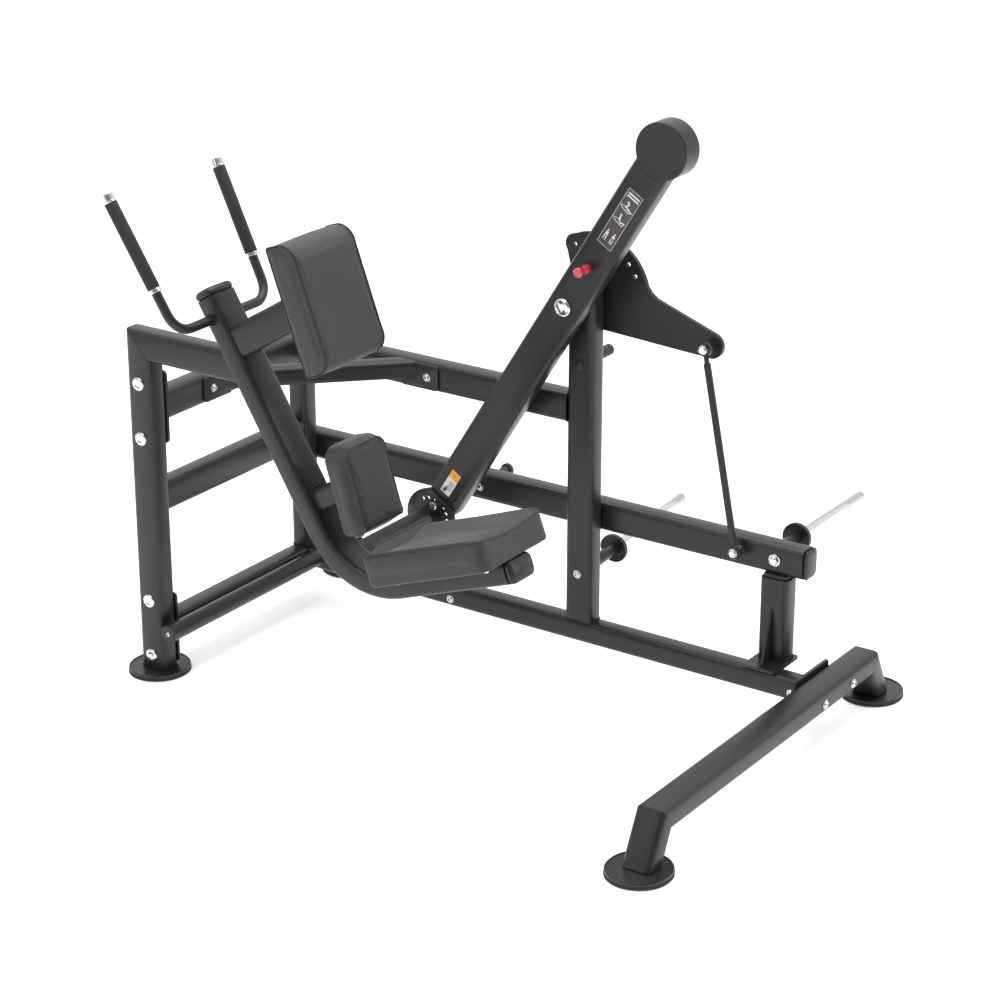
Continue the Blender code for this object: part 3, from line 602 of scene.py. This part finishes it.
def lathe(name, profile, sides=24, centre=(0, 0, 0), axis=(0, 0, 1)):
    """Turned solid through steps of height and radius; a third value makes a step hexagonal."""
    axis, u, v = frame_of(axis, (1, 0, 0) if abs(Vector(axis).normalized().x) < 0.9 else (0, 1, 0))
    rings = []
    for step in profile:
        ring = []
        for number in range(sides):
            angle = 2 * pi * number / sides
            radius = step[1]
            if len(step) > 2:
                part = (angle % (pi / 3)) - pi / 6
                radius = radius * cos(pi / 6) / cos(part)
            ring.append(tuple(Vector(centre) + axis * step[0] + (u * cos(angle) + v * sin(angle)) * radius))
        rings.append(ring)
    return ring_solid(name, rings)


def scatter_tree():
    tree, given, result = geometry_tree("fastener_heads", (("Head", "NodeSocketObject"),
                                                           ("Finish", "NodeSocketMaterial")))
    head = geometry_node(tree, "GeometryNodeObjectInfo", {"transform_space": "ORIGINAL"},
                         {"Object": given.outputs["Head"]})
    aim = geometry_node(tree, "GeometryNodeInputNamedAttribute", {"data_type": "FLOAT_VECTOR"},
                        {"Name": "aim"})
    turn = geometry_node(tree, "FunctionNodeAlignRotationToVector", {"axis": "Z"},
                         {"Vector": aim.outputs[0]})
    size = geometry_node(tree, "GeometryNodeInputNamedAttribute", {"data_type": "FLOAT"}, {"Name": "size"})
    placed = geometry_node(tree, "GeometryNodeInstanceOnPoints", None, {
        "Points": given.outputs["Geometry"], "Instance": head.outputs["Geometry"],
        "Rotation": turn.outputs[0], "Scale": size.outputs[0]})
    return close_tree(tree, given, result, placed)


SCATTER = scatter_tree()
CAP_HEAD = ((0, 0.0185), (0.0022, 0.0185), (0.0034, 0.0178), (0.0044, 0.0150), (0.0050, 0.0115),
            (0.0050, 0.0105), (0.0043, 0.0098), (0.0043, 0.0030))
SCREW_HEAD = ((0, 0.0115), (0.0014, 0.0115), (0.0018, 0.0108), (0.0018, 0.0088), (0.0042, 0.0088),
              (0.0062, 0.0070), (0.0070, 0.0046), (0.0070, 0.0040, 1), (0.0034, 0.0038, 1),
              (0.0030, 0.0010))
HEX_HEAD = ((0, 0.0150), (0.0022, 0.0150), (0.0026, 0.0142), (0.0026, 0.0118, 1), (0.0092, 0.0118, 1),
            (0.0104, 0.0100), (0.0104, 0.0020))


def fasteners(name, profile, body, spots, finish, sides=24):
    """One mesh of like heads: each spot is a point, its outward direction and a scale."""
    source = linked(name + "_source", lathe(name + "_source", profile, sides))
    points = bpy.data.meshes.new(name + "_points")
    points.from_pydata([spot[0] for spot in spots], [], [])
    points.attributes.new("aim", "FLOAT_VECTOR", "POINT")
    points.attributes.new("size", "FLOAT", "POINT")
    for number, spot in enumerate(spots):
        points.attributes["aim"].data[number].vector = spot[1]
        points.attributes["size"].data[number].value = spot[2]
    grow(name, points, SCATTER, {"Head": source, "Finish": finish}, body)
    bpy.data.objects.remove(source)


NEAR = (0, -1, 0)
REAR_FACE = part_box("rear_post")[0].y
fasteners("rear_post_bolts", CAP_HEAD, "frame",
          [((0, REAR_FACE, z), NEAR, 1.0) for z in (0.822, 0.671, 0.211, 0.052)], CHROME, 36)
cross_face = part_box("cross_base")[1].x
upright_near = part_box("main_upright")[0].y
base_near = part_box("base_rail")[0].y
bar_low, bar_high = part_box("foot_bar")
UPRIGHT_X = 0.938
PIVOT_Z = 1.049
LEVER_Z = 0.434
FOOT_BAR_Z = 0.138
CROSS_BOLT_Z = 0.116
BASE_BOLT_Z = 0.113
bar_spot = Vector(((bar_low.x + bar_high.x) / 2, bar_low.y, FOOT_BAR_Z))
ALONG_SEAT = Vector((cos(SEAT_RISE), 0, sin(SEAT_RISE)))
SEAT_NORMAL = Vector((-sin(SEAT_RISE), 0, cos(SEAT_RISE)))
under_seat = [SEAT_CORNER + ALONG_SEAT * run + SEAT_NORMAL * 0.0300 + Y_AXIS * side
              for run in (0.235, 0.510) for side in (-0.105, 0.105)]
fasteners("frame_screws", SCREW_HEAD, "frame", [
    ((0.0362, 0.225, 0.746), (1, 0, 0), 1.0),
    ((0.456, 0.6090, 0.746), NEAR, 1.0),
    ((UPRIGHT_X, upright_near, 0.287), NEAR, 1.0),
    ((0.524, base_near, BASE_BOLT_Z), NEAR, 1.0),
    ((1.588, base_near, BASE_BOLT_Z), NEAR, 0.9),
    ((cross_face, 0.602, CROSS_BOLT_Z), (1, 0, 0), 1.05),
    ((cross_face, 0.752, CROSS_BOLT_Z), (1, 0, 0), 1.05),
    (tuple(bar_spot), NEAR, 0.75),
] + [(tuple(spot), tuple(-SEAT_NORMAL), 0.8) for spot in under_seat], CHROME)
lever_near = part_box("weight_lever")[0].y
fasteners("lever_bolts", HEX_HEAD, "lever", [((1.490, lever_near, LEVER_Z), NEAR, 1.1)], CHROME)
fasteners("lever_screws", SCREW_HEAD, "lever", [((0.575, lever_near, LEVER_Z), NEAR, 1.0)], CHROME)
PLUG_HEAD = ((0, 0.013), (0.0022, 0.013), (0.0035, 0.011), (0.0038, 0.002))
fasteners("upright_plug", PLUG_HEAD, "frame", [((UPRIGHT_X, upright_near, 0.873), NEAR, 1.0)], PAINT, 24)


# ------------------------------------------- turned steel, chrome and caps
# The horns are chromed bars beyond a painted collar; the shafts are plain
# zinc-plated; tube ends are closed with painted caps.
CAP_PLASTIC = make_rubber("moulded_cap", (0.016, 0.016, 0.017), (0.024, 0.024, 0.025), 0.38)
for cap_node in ("seat_frame_cap_top", "seat_frame_cap_front", "weight_lever_cap"):
    dress(cap_node, PAINT, 0.007)
for rubber_node in ("stop_bumper", "travel_stop", "band_peg"):
    dress(rubber_node, RUBBER)
for chrome_node in ("pivot_cap", "foot_pin", "link_bolt_upper", "link_bolt_lower"):
    dress(chrome_node, CHROME, 0.0003)
for zinc_node in ("pivot_shaft", "lever_shaft", "link_stud"):
    dress(zinc_node, ZINC, 0.0003)
HORN_LONG = 0.3505
for horn_node in ("storage_horn", "weight_horn"):
    horn = dress(horn_node, CHROME, 0.0004)
    horn.data.materials.append(PAINT)
    collar_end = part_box(horn_node)[1].y - HORN_LONG
    for face in horn.data.polygons:
        face.material_index = 1 if face.center.y < collar_end else 0


# --------------------------------------------------------- upholstered pads
# Closed-cell foam on a board under stretched vinyl. The chest pad has two
# flat side panels sewn to one band that wraps round; the knee pad has one
# front panel, and the seat a dished top. Thin piping follows the seams.
def make_vinyl():
    finish, tree, place = new_finish("grained_vinyl", specular_ior_level=0.42, coat_weight=0.06)
    cell = add_node(tree, "ShaderNodeTexVoronoi", {"feature": "DISTANCE_TO_EDGE"},
                    {"Vector": place, "Scale": 520.0})[0]
    pore = grain(tree, place, 900.0, 3.0)
    wave = grain(tree, place, 9.0, 2.0)
    creases = add_node(tree, "ShaderNodeMapRange", {}, {"Value": cell, "From Min": 0.0, "From Max": 0.22,
                                                        "To Min": 0.0, "To Max": 1.0})[0]
    patch = wave * 0.55 + creases * 0.35
    feed(finish, base_color=between(tree, patch, (0.020, 0.020, 0.021), (0.032, 0.032, 0.033)),
         roughness=0.47 - creases * 0.08 + pore * 0.08,
         normal=bump(tree, creases * 0.7 + pore * 0.3, 0.0005, 0.5))
    return finish


VINYL = make_vinyl()
PIPING = make_rubber("vinyl_piping", (0.012, 0.012, 0.013), (0.020, 0.020, 0.021), 0.30)
STITCH_PATHS = []
SEAM_STEP = 0.006
STITCH_LIFT = 0.0002
FILLING = 3.0
SETTLE_FRAMES = 20


def settle(piece, pinned, reach):
    """Lets the cover swell like stretched fabric, with its back held, then keeps the result."""
    mesh = piece.data
    start = [vert.co.copy() for vert in mesh.vertices]
    group = piece.vertex_groups.new(name="held")
    group.add([i for i, point in enumerate(start) if pinned(point)], 1.0, "REPLACE")
    cloth = piece.modifiers.new("cover", "CLOTH")
    cloth.settings.quality = 5
    cloth.settings.mass = 0.4
    cloth.settings.tension_stiffness = 25
    cloth.settings.compression_stiffness = 25
    cloth.settings.bending_stiffness = 2.0
    cloth.settings.use_pressure = True
    cloth.settings.uniform_pressure_force = FILLING
    cloth.settings.effector_weights.gravity = 0
    cloth.settings.vertex_group_mass = "held"
    cloth.collision_settings.use_collision = False
    cloth.collision_settings.use_self_collision = False
    cloth.point_cache.frame_start = 1
    cloth.point_cache.frame_end = SETTLE_FRAMES
    for number in range(1, SETTLE_FRAMES + 1):
        bpy.context.scene.frame_set(number)
    graph = bpy.context.evaluated_depsgraph_get()
    swollen = piece.evaluated_get(graph).to_mesh()
    moved = [vert.co.copy() for vert in swollen.vertices]
    piece.evaluated_get(graph).to_mesh_clear()
    piece.modifiers.remove(cloth)
    piece.vertex_groups.remove(group)
    for vert, old, new in zip(mesh.vertices, start, moved):
        step = new - old
        if step.length > reach:
            step = step * (reach / step.length)
        vert.co = old + step
    bpy.context.scene.frame_set(1)


def remeshed(mesh, voxel=0.005):
    holder = linked("pad_form", mesh)
    step = holder.modifiers.new("even", "REMESH")
    step.mode = "VOXEL"
    step.voxel_size = voxel
    soften = holder.modifiers.new("soften", "SMOOTH")
    soften.factor = 0.5
    soften.iterations = 2
    made = plain_copy(holder)
    bpy.data.objects.remove(holder)
    return made


def show_bead(name, points, radius):
    """A thin round bead of piping that follows a closed path of points."""
    sides = 8
    turns = [2 * pi * i / sides for i in range(sides)]
    count = len(points)
    verts = []
    faces = []
    for number, point in enumerate(points):
        ahead = points[(number + 1) % count]
        axis, u, v = frame_of(ahead - points[number - 1], (0.31, 0.17, 0.93))
        verts += [tuple(point + (u * cos(turn) + v * sin(turn)) * radius) for turn in turns]
        faces += band(number * sides, (number + 1) % count * sides, sides)
    mesh = closed_mesh(name, verts, faces)
    keep_smooth(mesh, 60)
    show(name, mesh, PIPING, "frame")


def rest_on(surface, points, lift):
    """Moves points to the nearest place on a surface, lifted along its normal."""
    found = []
    for point in points:
        spot, normal = surface.find_nearest(point)[:2]
        found.append(spot + normal * lift)
    return found


def evenly(points, step):
    """A closed path cut into short, nearly equal lengths."""
    made = []
    for number, point in enumerate(points):
        ahead = points[(number + 1) % len(points)]
        parts = max(1, round((ahead - point).length / step))
        made += [point.lerp(ahead, part / parts) for part in range(parts)]
    return made


def side_profile(thick, tall, front_radius, back_radius, steps):
    """Outline of a pad in its thickness and height, from the back's foot round the front to its top."""
    front = thick - front_radius
    front_z = tall / 2 - front_radius
    back_z = tall / 2 - back_radius
    return arcs(((back_radius, -back_z, back_radius, pi), (front, -front_z, front_radius, -pi / 2),
                 (front, front_z, front_radius, 0), (back_radius, back_z, back_radius, pi / 2)), steps)


def covered(node, form, pinned, reach):
    """Settles a pad's form into its final cover and returns its surface for seams to rest on."""
    piece = linked(node + "_cover", form)
    settle(piece, pinned, reach)
    refine = piece.modifiers.new("refine", "SUBSURF")
    refine.levels = 1
    refine.render_levels = 1
    cover = plain_copy(piece)
    bpy.data.objects.remove(piece)
    work = bmesh.new()
    work.from_mesh(cover)
    surface = BVHTree.FromBMesh(work)
    work.free()
    keep_smooth(cover, 80)
    cover_piece = show(node + "_cover", cover, VINYL, "frame", (node,))
    return surface


def build_upright_pad(node, back, lean, size, front_radius, edge):
    """Chest pad: side panels and a wrapped band, with piping along both seams."""
    normal = Vector((cos(lean), 0, sin(lean)))
    up = Vector((-sin(lean), 0, cos(lean)))
    thick, wide, tall = size
    swell = 0.003
    outline = side_profile(thick - swell, tall - 2 * swell, front_radius, 0.006, 8)
    half = wide / 2 - swell
    rings = []
    for side, inset in ((-1, edge), (-1 + 0.35 * edge / half, edge * 0.3), (-1 + edge / half, 0.0),
                        (1 - edge / half, 0.0), (1 - 0.35 * edge / half, edge * 0.3), (1, edge)):
        ring = []
        for a, b in outline:
            a = inset + a * (1 - 2 * inset / thick)
            b = b * (1 - 2 * inset / tall)
            ring.append(tuple(back + normal * (a + 0.0004) + up * b + Y_AXIS * half * side))
        rings.append(ring)
    form = remeshed(ring_solid(node + "_form", rings))
    surface = covered(node, form, lambda point: (point - back).dot(normal) < 0.010, 0.0026)
    seam = side_profile(thick, tall, front_radius + 0.002, 0.006, 12)
    for name, side in (("near", -1), ("far", 1)):
        path = [back + normal * a + up * b + Y_AXIS * side * (half - edge * 0.45) for a, b in seam]
        show_bead(node + "_piping_" + name, rest_on(surface, evenly(path, SEAM_STEP), 0.0010), 0.0023)
        inside = [back + normal * a + up * b + Y_AXIS * side * (half - edge - 0.009) for a, b in seam]
        STITCH_PATHS.append(rest_on(surface, evenly(inside, SEAM_STEP), STITCH_LIFT))


CHEST_BACK = Vector((0.565, 0, 1.136))
CHEST_SIZE = (0.086, 0.246, 0.336)
build_upright_pad("chest_pad", CHEST_BACK, radians(20.5), CHEST_SIZE, 0.046, 0.005)


def seat_outline(back_r, front_r, long, wide, steps=8):
    """Pad plan in its length and width, with one corner radius at its back and one in front."""
    front, front_y = long / 2 - front_r, wide / 2 - front_r
    rear, rear_y = long / 2 - back_r, wide / 2 - back_r
    return arcs(((front, -front_y, front_r, -pi / 2), (front, front_y, front_r, 0),
                 (-rear, rear_y, back_r, pi / 2), (-rear, -rear_y, back_r, pi)), steps)


def build_seat_pad(back, size, dish):
    """Kneeling seat: a thick block with a shallow trough along it for the shin."""
    thick, wide, long = size
    back_radius = 0.014
    front_radius = 0.030
    swell = 0.0025

    def sunk(across):
        """How far the trough lies below the rim, at a distance from the middle."""
        return dish * (1 - min(1.0, abs(across) / (wide / 2)) ** 2) ** 1.5

    rings = []
    for height, inset in ((0.0006, 0.003), (0.003, 0.0), (thick - 0.010, 0.0), (thick - 0.003, 0.003),
                          (thick - swell, 0.010)):
        outline = seat_outline(back_radius - inset * 0.6, front_radius - inset * 0.6,
                               long - 2 * swell - 2 * inset, wide - 2 * swell - 2 * inset)
        rings.append([tuple(back + SEAT_NORMAL * height + ALONG_SEAT * a + Y_AXIS * b) for a, b in outline])
    form = remeshed(ring_solid("seat_form", rings))
    for vert in form.vertices:
        height = (vert.co - back).dot(SEAT_NORMAL)
        share = max(0.0, min(1.0, (height - 0.02) / (thick - 0.02)))
        vert.co -= SEAT_NORMAL * (sunk(vert.co.y) * share)
    surface = covered("seat_pad", form, lambda point: (point - back).dot(SEAT_NORMAL) < 0.030, 0.003)

    def edge_path(inset):
        outline = seat_outline(back_radius, front_radius, long - inset, wide - inset, 12)
        return evenly([back + SEAT_NORMAL * (thick - 0.004 - sunk(b)) + ALONG_SEAT * a + Y_AXIS * b
                       for a, b in outline], SEAM_STEP)

    show_bead("seat_piping", rest_on(surface, edge_path(0.004), 0.0004), 0.0017)
    STITCH_PATHS.append(rest_on(surface, edge_path(0.022), STITCH_LIFT))


def build_front_pad(node, back, lean, size, top_radius, foot_radius):
    """Knee pad: one front panel, sewn with piping to a band that leans in toward it."""
    normal = Vector((cos(lean), 0, sin(lean)))
    up = Vector((-sin(lean), 0, cos(lean)))
    thick, wide, tall = size
    swell = 0.0025
    rings = []
    for height, inset in ((0.0006, 0.004), (0.004, 0.0), (thick * 0.55, 0.0), (thick - 0.008, 0.009),
                          (thick - 0.004, 0.0105), (thick - swell, 0.015)):
        outline = seat_outline(foot_radius - inset * 0.6, top_radius - inset * 0.6,
                               tall - 2 * swell - 2 * inset, wide - 2 * swell - 2 * inset)
        rings.append([tuple(back + normal * height + up * a + Y_AXIS * b) for a, b in outline])
    form = remeshed(ring_solid(node + "_form", rings), 0.0045)
    surface = covered(node, form, lambda point: (point - back).dot(normal) < 0.020, 0.0026)

    def edge_path(inset):
        outline = seat_outline(foot_radius - inset * 0.5, top_radius - inset * 0.5,
                               tall - 2 * inset, wide - 2 * inset, 12)
        return evenly([back + normal * (thick - 0.004) + up * a + Y_AXIS * b for a, b in outline], 0.005)

    show_bead(node + "_piping", rest_on(surface, edge_path(0.0115), 0.0006), 0.0018)
    STITCH_PATHS.append(rest_on(surface, edge_path(0.020), STITCH_LIFT))


SEAT_BACK = SEAT_CORNER + ALONG_SEAT * 0.3525 + SEAT_NORMAL * 0.0303
SEAT_SIZE = (0.085, 0.285, 0.375)
KNEE_BACK = Vector((0.670, 0, 0.682))
KNEE_SIZE = (0.075, 0.180, 0.235)
build_seat_pad(SEAT_BACK, SEAT_SIZE, 0.020)
build_front_pad("knee_pad", KNEE_BACK, radians(17.5), KNEE_SIZE, 0.040, 0.016)


def stitch_thread(tree, given):
    thread = geometry_node(tree, "GeometryNodeMeshUVSphere", None,
                           {"Segments": 6, "Rings": 4, "Radius": given.outputs["Radius"]})
    return thread.outputs["Mesh"]


STITCHES = spaced_tree("stitches", (("Radius", "NodeSocketFloat"),), stitch_thread, scale=(1.0, 1.0, 3.2))
grow("pad_stitches", ring_edges("stitch_paths", STITCH_PATHS), STITCHES,
     {"Pitch": 0.0046, "Radius": 0.0005, "Finish": PIPING}, "frame")


# --------------------------------------------------------- grips and their caps
# Ribbed foam sleeves pushed over the bent bars, closed by a chromed cap at
# the top and held by a chromed collar at the bottom.
def make_foam():
    finish, tree, place = new_finish("foam_sleeve", specular_ior_level=0.3)
    cells = grain(tree, place, 1100.0, 4.0)
    dust = grain(tree, place, 45.0, 3.0)
    patch = dust * 0.6 + cells * 0.4
    feed(finish, base_color=between(tree, patch, (0.016, 0.016, 0.017), (0.034, 0.034, 0.035)),
         roughness=0.62 + cells * 0.2, normal=bump(tree, cells, 0.0006, 0.7))
    return finish


FOAM = make_foam()
GRIP_RADIUS = 0.0165
GRIP_LONG = 0.235
RIB_PITCH = 0.0048


def rib_hoop(tree, given):
    circle = geometry_node(tree, "GeometryNodeCurvePrimitiveCircle", None,
                           {"Resolution": 32, "Radius": given.outputs["Sleeve"]})
    section = geometry_node(tree, "GeometryNodeCurvePrimitiveCircle", None,
                            {"Resolution": 6, "Radius": given.outputs["Rib"]})
    hoop = geometry_node(tree, "GeometryNodeCurveToMesh", None,
                         {"Curve": circle.outputs[0], "Profile Curve": section.outputs[0]})
    return hoop.outputs[0]


RIBS = spaced_tree("grip_ribs", (("Sleeve", "NodeSocketFloat"), ("Rib", "NodeSocketFloat")), rib_hoop)
SLEEVE = ((0, 0.0130), (0, 0.0157), (0.0012, GRIP_RADIUS), (GRIP_LONG - 0.0012, GRIP_RADIUS),
          (GRIP_LONG, 0.0157), (GRIP_LONG, 0.0130))
CAP = ((0.0005, 0.0130), (0.0005, 0.0166), (-0.0012, 0.0172), (-0.0040, 0.0172), (-0.0048, 0.0164),
       (-0.0205, 0.0164), (-0.0222, 0.0150), (-0.0228, 0.0120), (-0.0228, 0.0020))
COLLAR = tuple((GRIP_LONG + step, radius) for step, radius in (
    (0.0003, 0.0129), (0.0003, 0.0168), (0.0010, 0.0175), (0.0095, 0.0175), (0.0105, 0.0168),
    (0.0105, 0.0129)))
for side_name, side in (("near", -1), ("far", 1)):
    grip = "grip_" + side_name
    tip = Vector((0.087, side * 0.208, 1.381))
    bend = Vector((HANDLE_BAR[0], side * 0.180, HANDLE_BAR[1]))
    down = (bend - tip).normalized()
    top = tip + down * 0.022
    sleeve = lathe(grip + "_sleeve", SLEEVE, 36, top, down)
    show(grip + "_sleeve", sleeve, FOAM, "frame", (grip,))
    line = bpy.data.meshes.new("rib_line")
    line.from_pydata([top + down * 0.006, top + down * (GRIP_LONG - 0.006)], [(0, 1)], [])
    grow(grip + "_ribs", line, RIBS,
         {"Pitch": RIB_PITCH, "Sleeve": GRIP_RADIUS - 0.0006, "Rib": 0.0011, "Finish": FOAM},
         "frame")
    for part, profile in (("_cap", CAP), ("_collar", COLLAR)):
        show(grip + part, lathe(grip + part, profile, 36, top, down), CHROME, "frame")


# ------------------------------------------------------ swing arm's details
# A red start knob, two printed plates of plain shapes on the near face, and
# the foot sector with its ring of pin holes and ribbed rubber tread.
def make_gloss(name, colour, roughness=0.4, coat=0.2):
    finish, tree, place = new_finish(name, coat_weight=coat, coat_roughness=0.08)
    tint = grain(tree, place, 60.0, 2.0)
    feed(finish, base_color=between(tree, tint, colour, tuple(c * 0.82 for c in colour)),
         roughness=roughness + tint * 0.08)
    return finish


RED = make_gloss("clear_red_knob", (0.55, 0.035, 0.060), 0.16, 0.8)
dress("start_pin", RED, 0.0006)
ARM_LEAN = radians(57.9)
ARM_UP = Vector((cos(ARM_LEAN), 0, sin(ARM_LEAN)))
ARM_SIDE = Vector((sin(ARM_LEAN), 0, -cos(ARM_LEAN)))
arm_face = Vector((UPRIGHT_X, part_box("swing_arm")[0].y, PIVOT_Z))
PRINT_THICK = 0.0001


def printed(name, shapes, centre, level, finish):
    """Flat printed shapes on the arm's near face: bars given as place along and across, length, width
    and turn in degrees, or discs of that length as radius where the width is 0."""
    verts = []
    faces = []
    for along, across, long, wide, turn in shapes:
        if wide:
            corners = [(-long / 2, -wide / 2), (long / 2, -wide / 2),
                       (long / 2, wide / 2), (-long / 2, wide / 2)]
        else:
            corners = [(long * cos(2 * pi * i / 14), long * sin(2 * pi * i / 14)) for i in range(14)]
        first = len(verts)
        angle = radians(turn)
        flat = [(along + a * cos(angle) - b * sin(angle), across + a * sin(angle) + b * cos(angle))
                for a, b in corners]
        for lift in (level - PRINT_THICK, level):
            verts += [centre + ARM_UP * a + ARM_SIDE * b - Y_AXIS * lift for a, b in flat]
        count = len(corners)
        faces.append(tuple(range(first, first + count)))
        faces.append(tuple(range(first + count, first + 2 * count)))
        faces += band(first, first + count, count)
    show(name, closed_mesh(name, verts, faces), finish, "arm")


PRINT_DARK = make_gloss("printed_grey", (0.050, 0.046, 0.046), 0.35)
PRINT_WHITE = make_gloss("printed_white", (0.72, 0.72, 0.70))
PRINT_LIME = make_gloss("printed_lime", (0.60, 0.66, 0.20))
PRINT_RED = make_gloss("printed_red", (0.62, 0.12, 0.10))
PRINT_ORANGE = make_gloss("printed_orange", (0.86, 0.36, 0.02))
plate_spot = arm_face + ARM_UP * 0.305 + ARM_SIDE * 0.004
PLATE_LONG = 0.176
PLATE_WIDE = 0.048
RIM = 0.0012
RIM_LINE = 0.0009
printed("guide_plate", [(0, 0, PLATE_LONG, PLATE_WIDE, 0)], plate_spot, 0.0006, PRINT_DARK)
guide_lines = [(0, side * (PLATE_WIDE / 2 - RIM), PLATE_LONG - RIM, RIM_LINE, 0) for side in (-1, 1)]
guide_lines += [(side * (PLATE_LONG / 2 - RIM), 0, RIM_LINE, PLATE_WIDE - RIM, 0) for side in (-1, 1)]
guide_lines += [(0.076, 0, 0.0042, 0.036, 0), (0.068, 0, 0.0042, 0.036, 0)]
for middle, lean in ((0.040, 20), (0.000, -12)):
    guide_lines += [(middle + 0.013, -0.004, 0.0030, 0, 0), (middle + 0.004, -0.002, 0.016, 0.0042, lean),
                    (middle - 0.004, 0.009, 0.0030, 0.016, lean),
                    (middle - 0.008, 0.014, 0.013, 0.0022, lean + 40),
                    (middle - 0.002, -0.013, 0.020, 0.0016, 70), (middle - 0.010, -0.004, 0.0018, 0.026, 8)]
for side in (-1, 1):
    guide_lines += [(-0.043, side * 0.0105, 0.0026, 0, 0), (-0.053, side * 0.0105, 0.011, 0.0080, 0),
                    (-0.066, side * 0.0135, 0.013, 0.0026, 4), (-0.066, side * 0.0075, 0.013, 0.0026, -4)]
printed("guide_marks_white", guide_lines, plate_spot, 0.0008, PRINT_WHITE)
printed("guide_marks_lime", [(0.037, 0.001, 0.012, 0.0030, -50), (-0.004, 0.003, 0.012, 0.0030, -40)],
        plate_spot, 0.0010, PRINT_LIME)
printed("guide_marks_red", [(-0.057, 0.0105, 0.0060, 0.0086, 0)], plate_spot, 0.0010, PRINT_RED)
label_spot = arm_face - ARM_UP * 0.658 - ARM_SIDE * 0.004
printed("care_label_white", [(-0.012, 0, 0.052, 0.032, 0)], label_spot, 0.0005, PRINT_WHITE)
printed("care_label_orange", [(0.027, 0, 0.026, 0.032, 0)], label_spot, 0.0005, PRINT_ORANGE)
printed("care_label_marks", [(0.026, 0, 0.010, 0.0022, 0), (-0.028, -0.006, 0.012, 0.0100, 25),
                             (-0.018, -0.004, 0.008, 0.0050, -30)]
        + [(0.004 - 0.0052 * row, 0.005, 0.0016, 0.016, 0) for row in range(6)],
        label_spot, 0.0007, PRINT_DARK)


def pierce(piece, centre, spots, radius, deep):
    """Cuts round holes through a plate whose faces look along Y."""
    cutter_mesh = bpy.data.meshes.new("cutter")
    work = bmesh.new()
    turn = Matrix.Rotation(pi / 2, 4, "X")
    for spot in spots:
        bmesh.ops.create_cone(work, cap_ends=True, segments=20, radius1=radius, radius2=radius, depth=deep,
                              matrix=Matrix.Translation(centre + spot) @ turn)
    work.to_mesh(cutter_mesh)
    work.free()
    cutter = linked("cutter", cutter_mesh)
    holes = piece.modifiers.new("holes", "BOOLEAN")
    holes.operation = "DIFFERENCE"
    holes.solver = "EXACT"
    holes.object = cutter
    made = plain_copy(piece)
    piece.modifiers.clear()
    piece.data = made
    bpy.data.objects.remove(cutter)
    keep_smooth(made, 40)


sector_low, sector_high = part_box("foot_sector")
foot_joint = next(joint for joint in frame["joints"] if joint["name"] == "foot_angle")
sector_centre = Vector(foot_joint["pos_m"])
sector_centre.y = (sector_low.y + sector_high.y) / 2
HOLE_RING = 0.052
hole_spots = [(ARM_UP * cos(angle) + ARM_SIDE * sin(angle)) * HOLE_RING
              for angle in (radians(turn) for turn in (-60, -40, -20, 20, 40, 60))]
pierce(bpy.data.objects["foot_sector_shown"], sector_centre, hole_spots, 0.0055, 0.03)

TREAD_FACE = -ARM_SIDE
tread_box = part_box("foot_tread")
tread_middle = (tread_box[0] + tread_box[1]) / 2
dress("foot_tread", RUBBER, 0.0015)
STUD_HEAD = ((0, 0.0040), (0.0010, 0.0038), (0.0016, 0.0026), (0.0016, 0.0008))
STUD_PITCH = 0.0125
stud_spots = []
for row in range(-5, 6):
    for column in range(-10, 11):
        spot = (tread_middle + TREAD_FACE * 0.0060 + ARM_UP * (row * STUD_PITCH)
                + Y_AXIS * (column * STUD_PITCH))
        stud_spots.append((tuple(spot), tuple(TREAD_FACE), 1.0))
fasteners("tread_studs", STUD_HEAD, "foot", stud_spots, RUBBER, 8)
tube_screw = Vector((sector_centre.x, 0.315, sector_centre.z)) + ARM_SIDE * 0.0261
fasteners("foot_screws", SCREW_HEAD, "foot", [(tuple(tube_screw), tuple(ARM_SIDE), 1.2)], CHROME)
BAR_PLUG = ((0.004, 0.0200), (0.0, 0.0238), (-0.0016, 0.0238), (-0.0032, 0.0222), (-0.0034, 0.003))
show("foot_bar_plug", lathe("foot_bar_plug", BAR_PLUG, 32, bar_spot, (0, 1, 0)), CAP_PLASTIC, "frame")
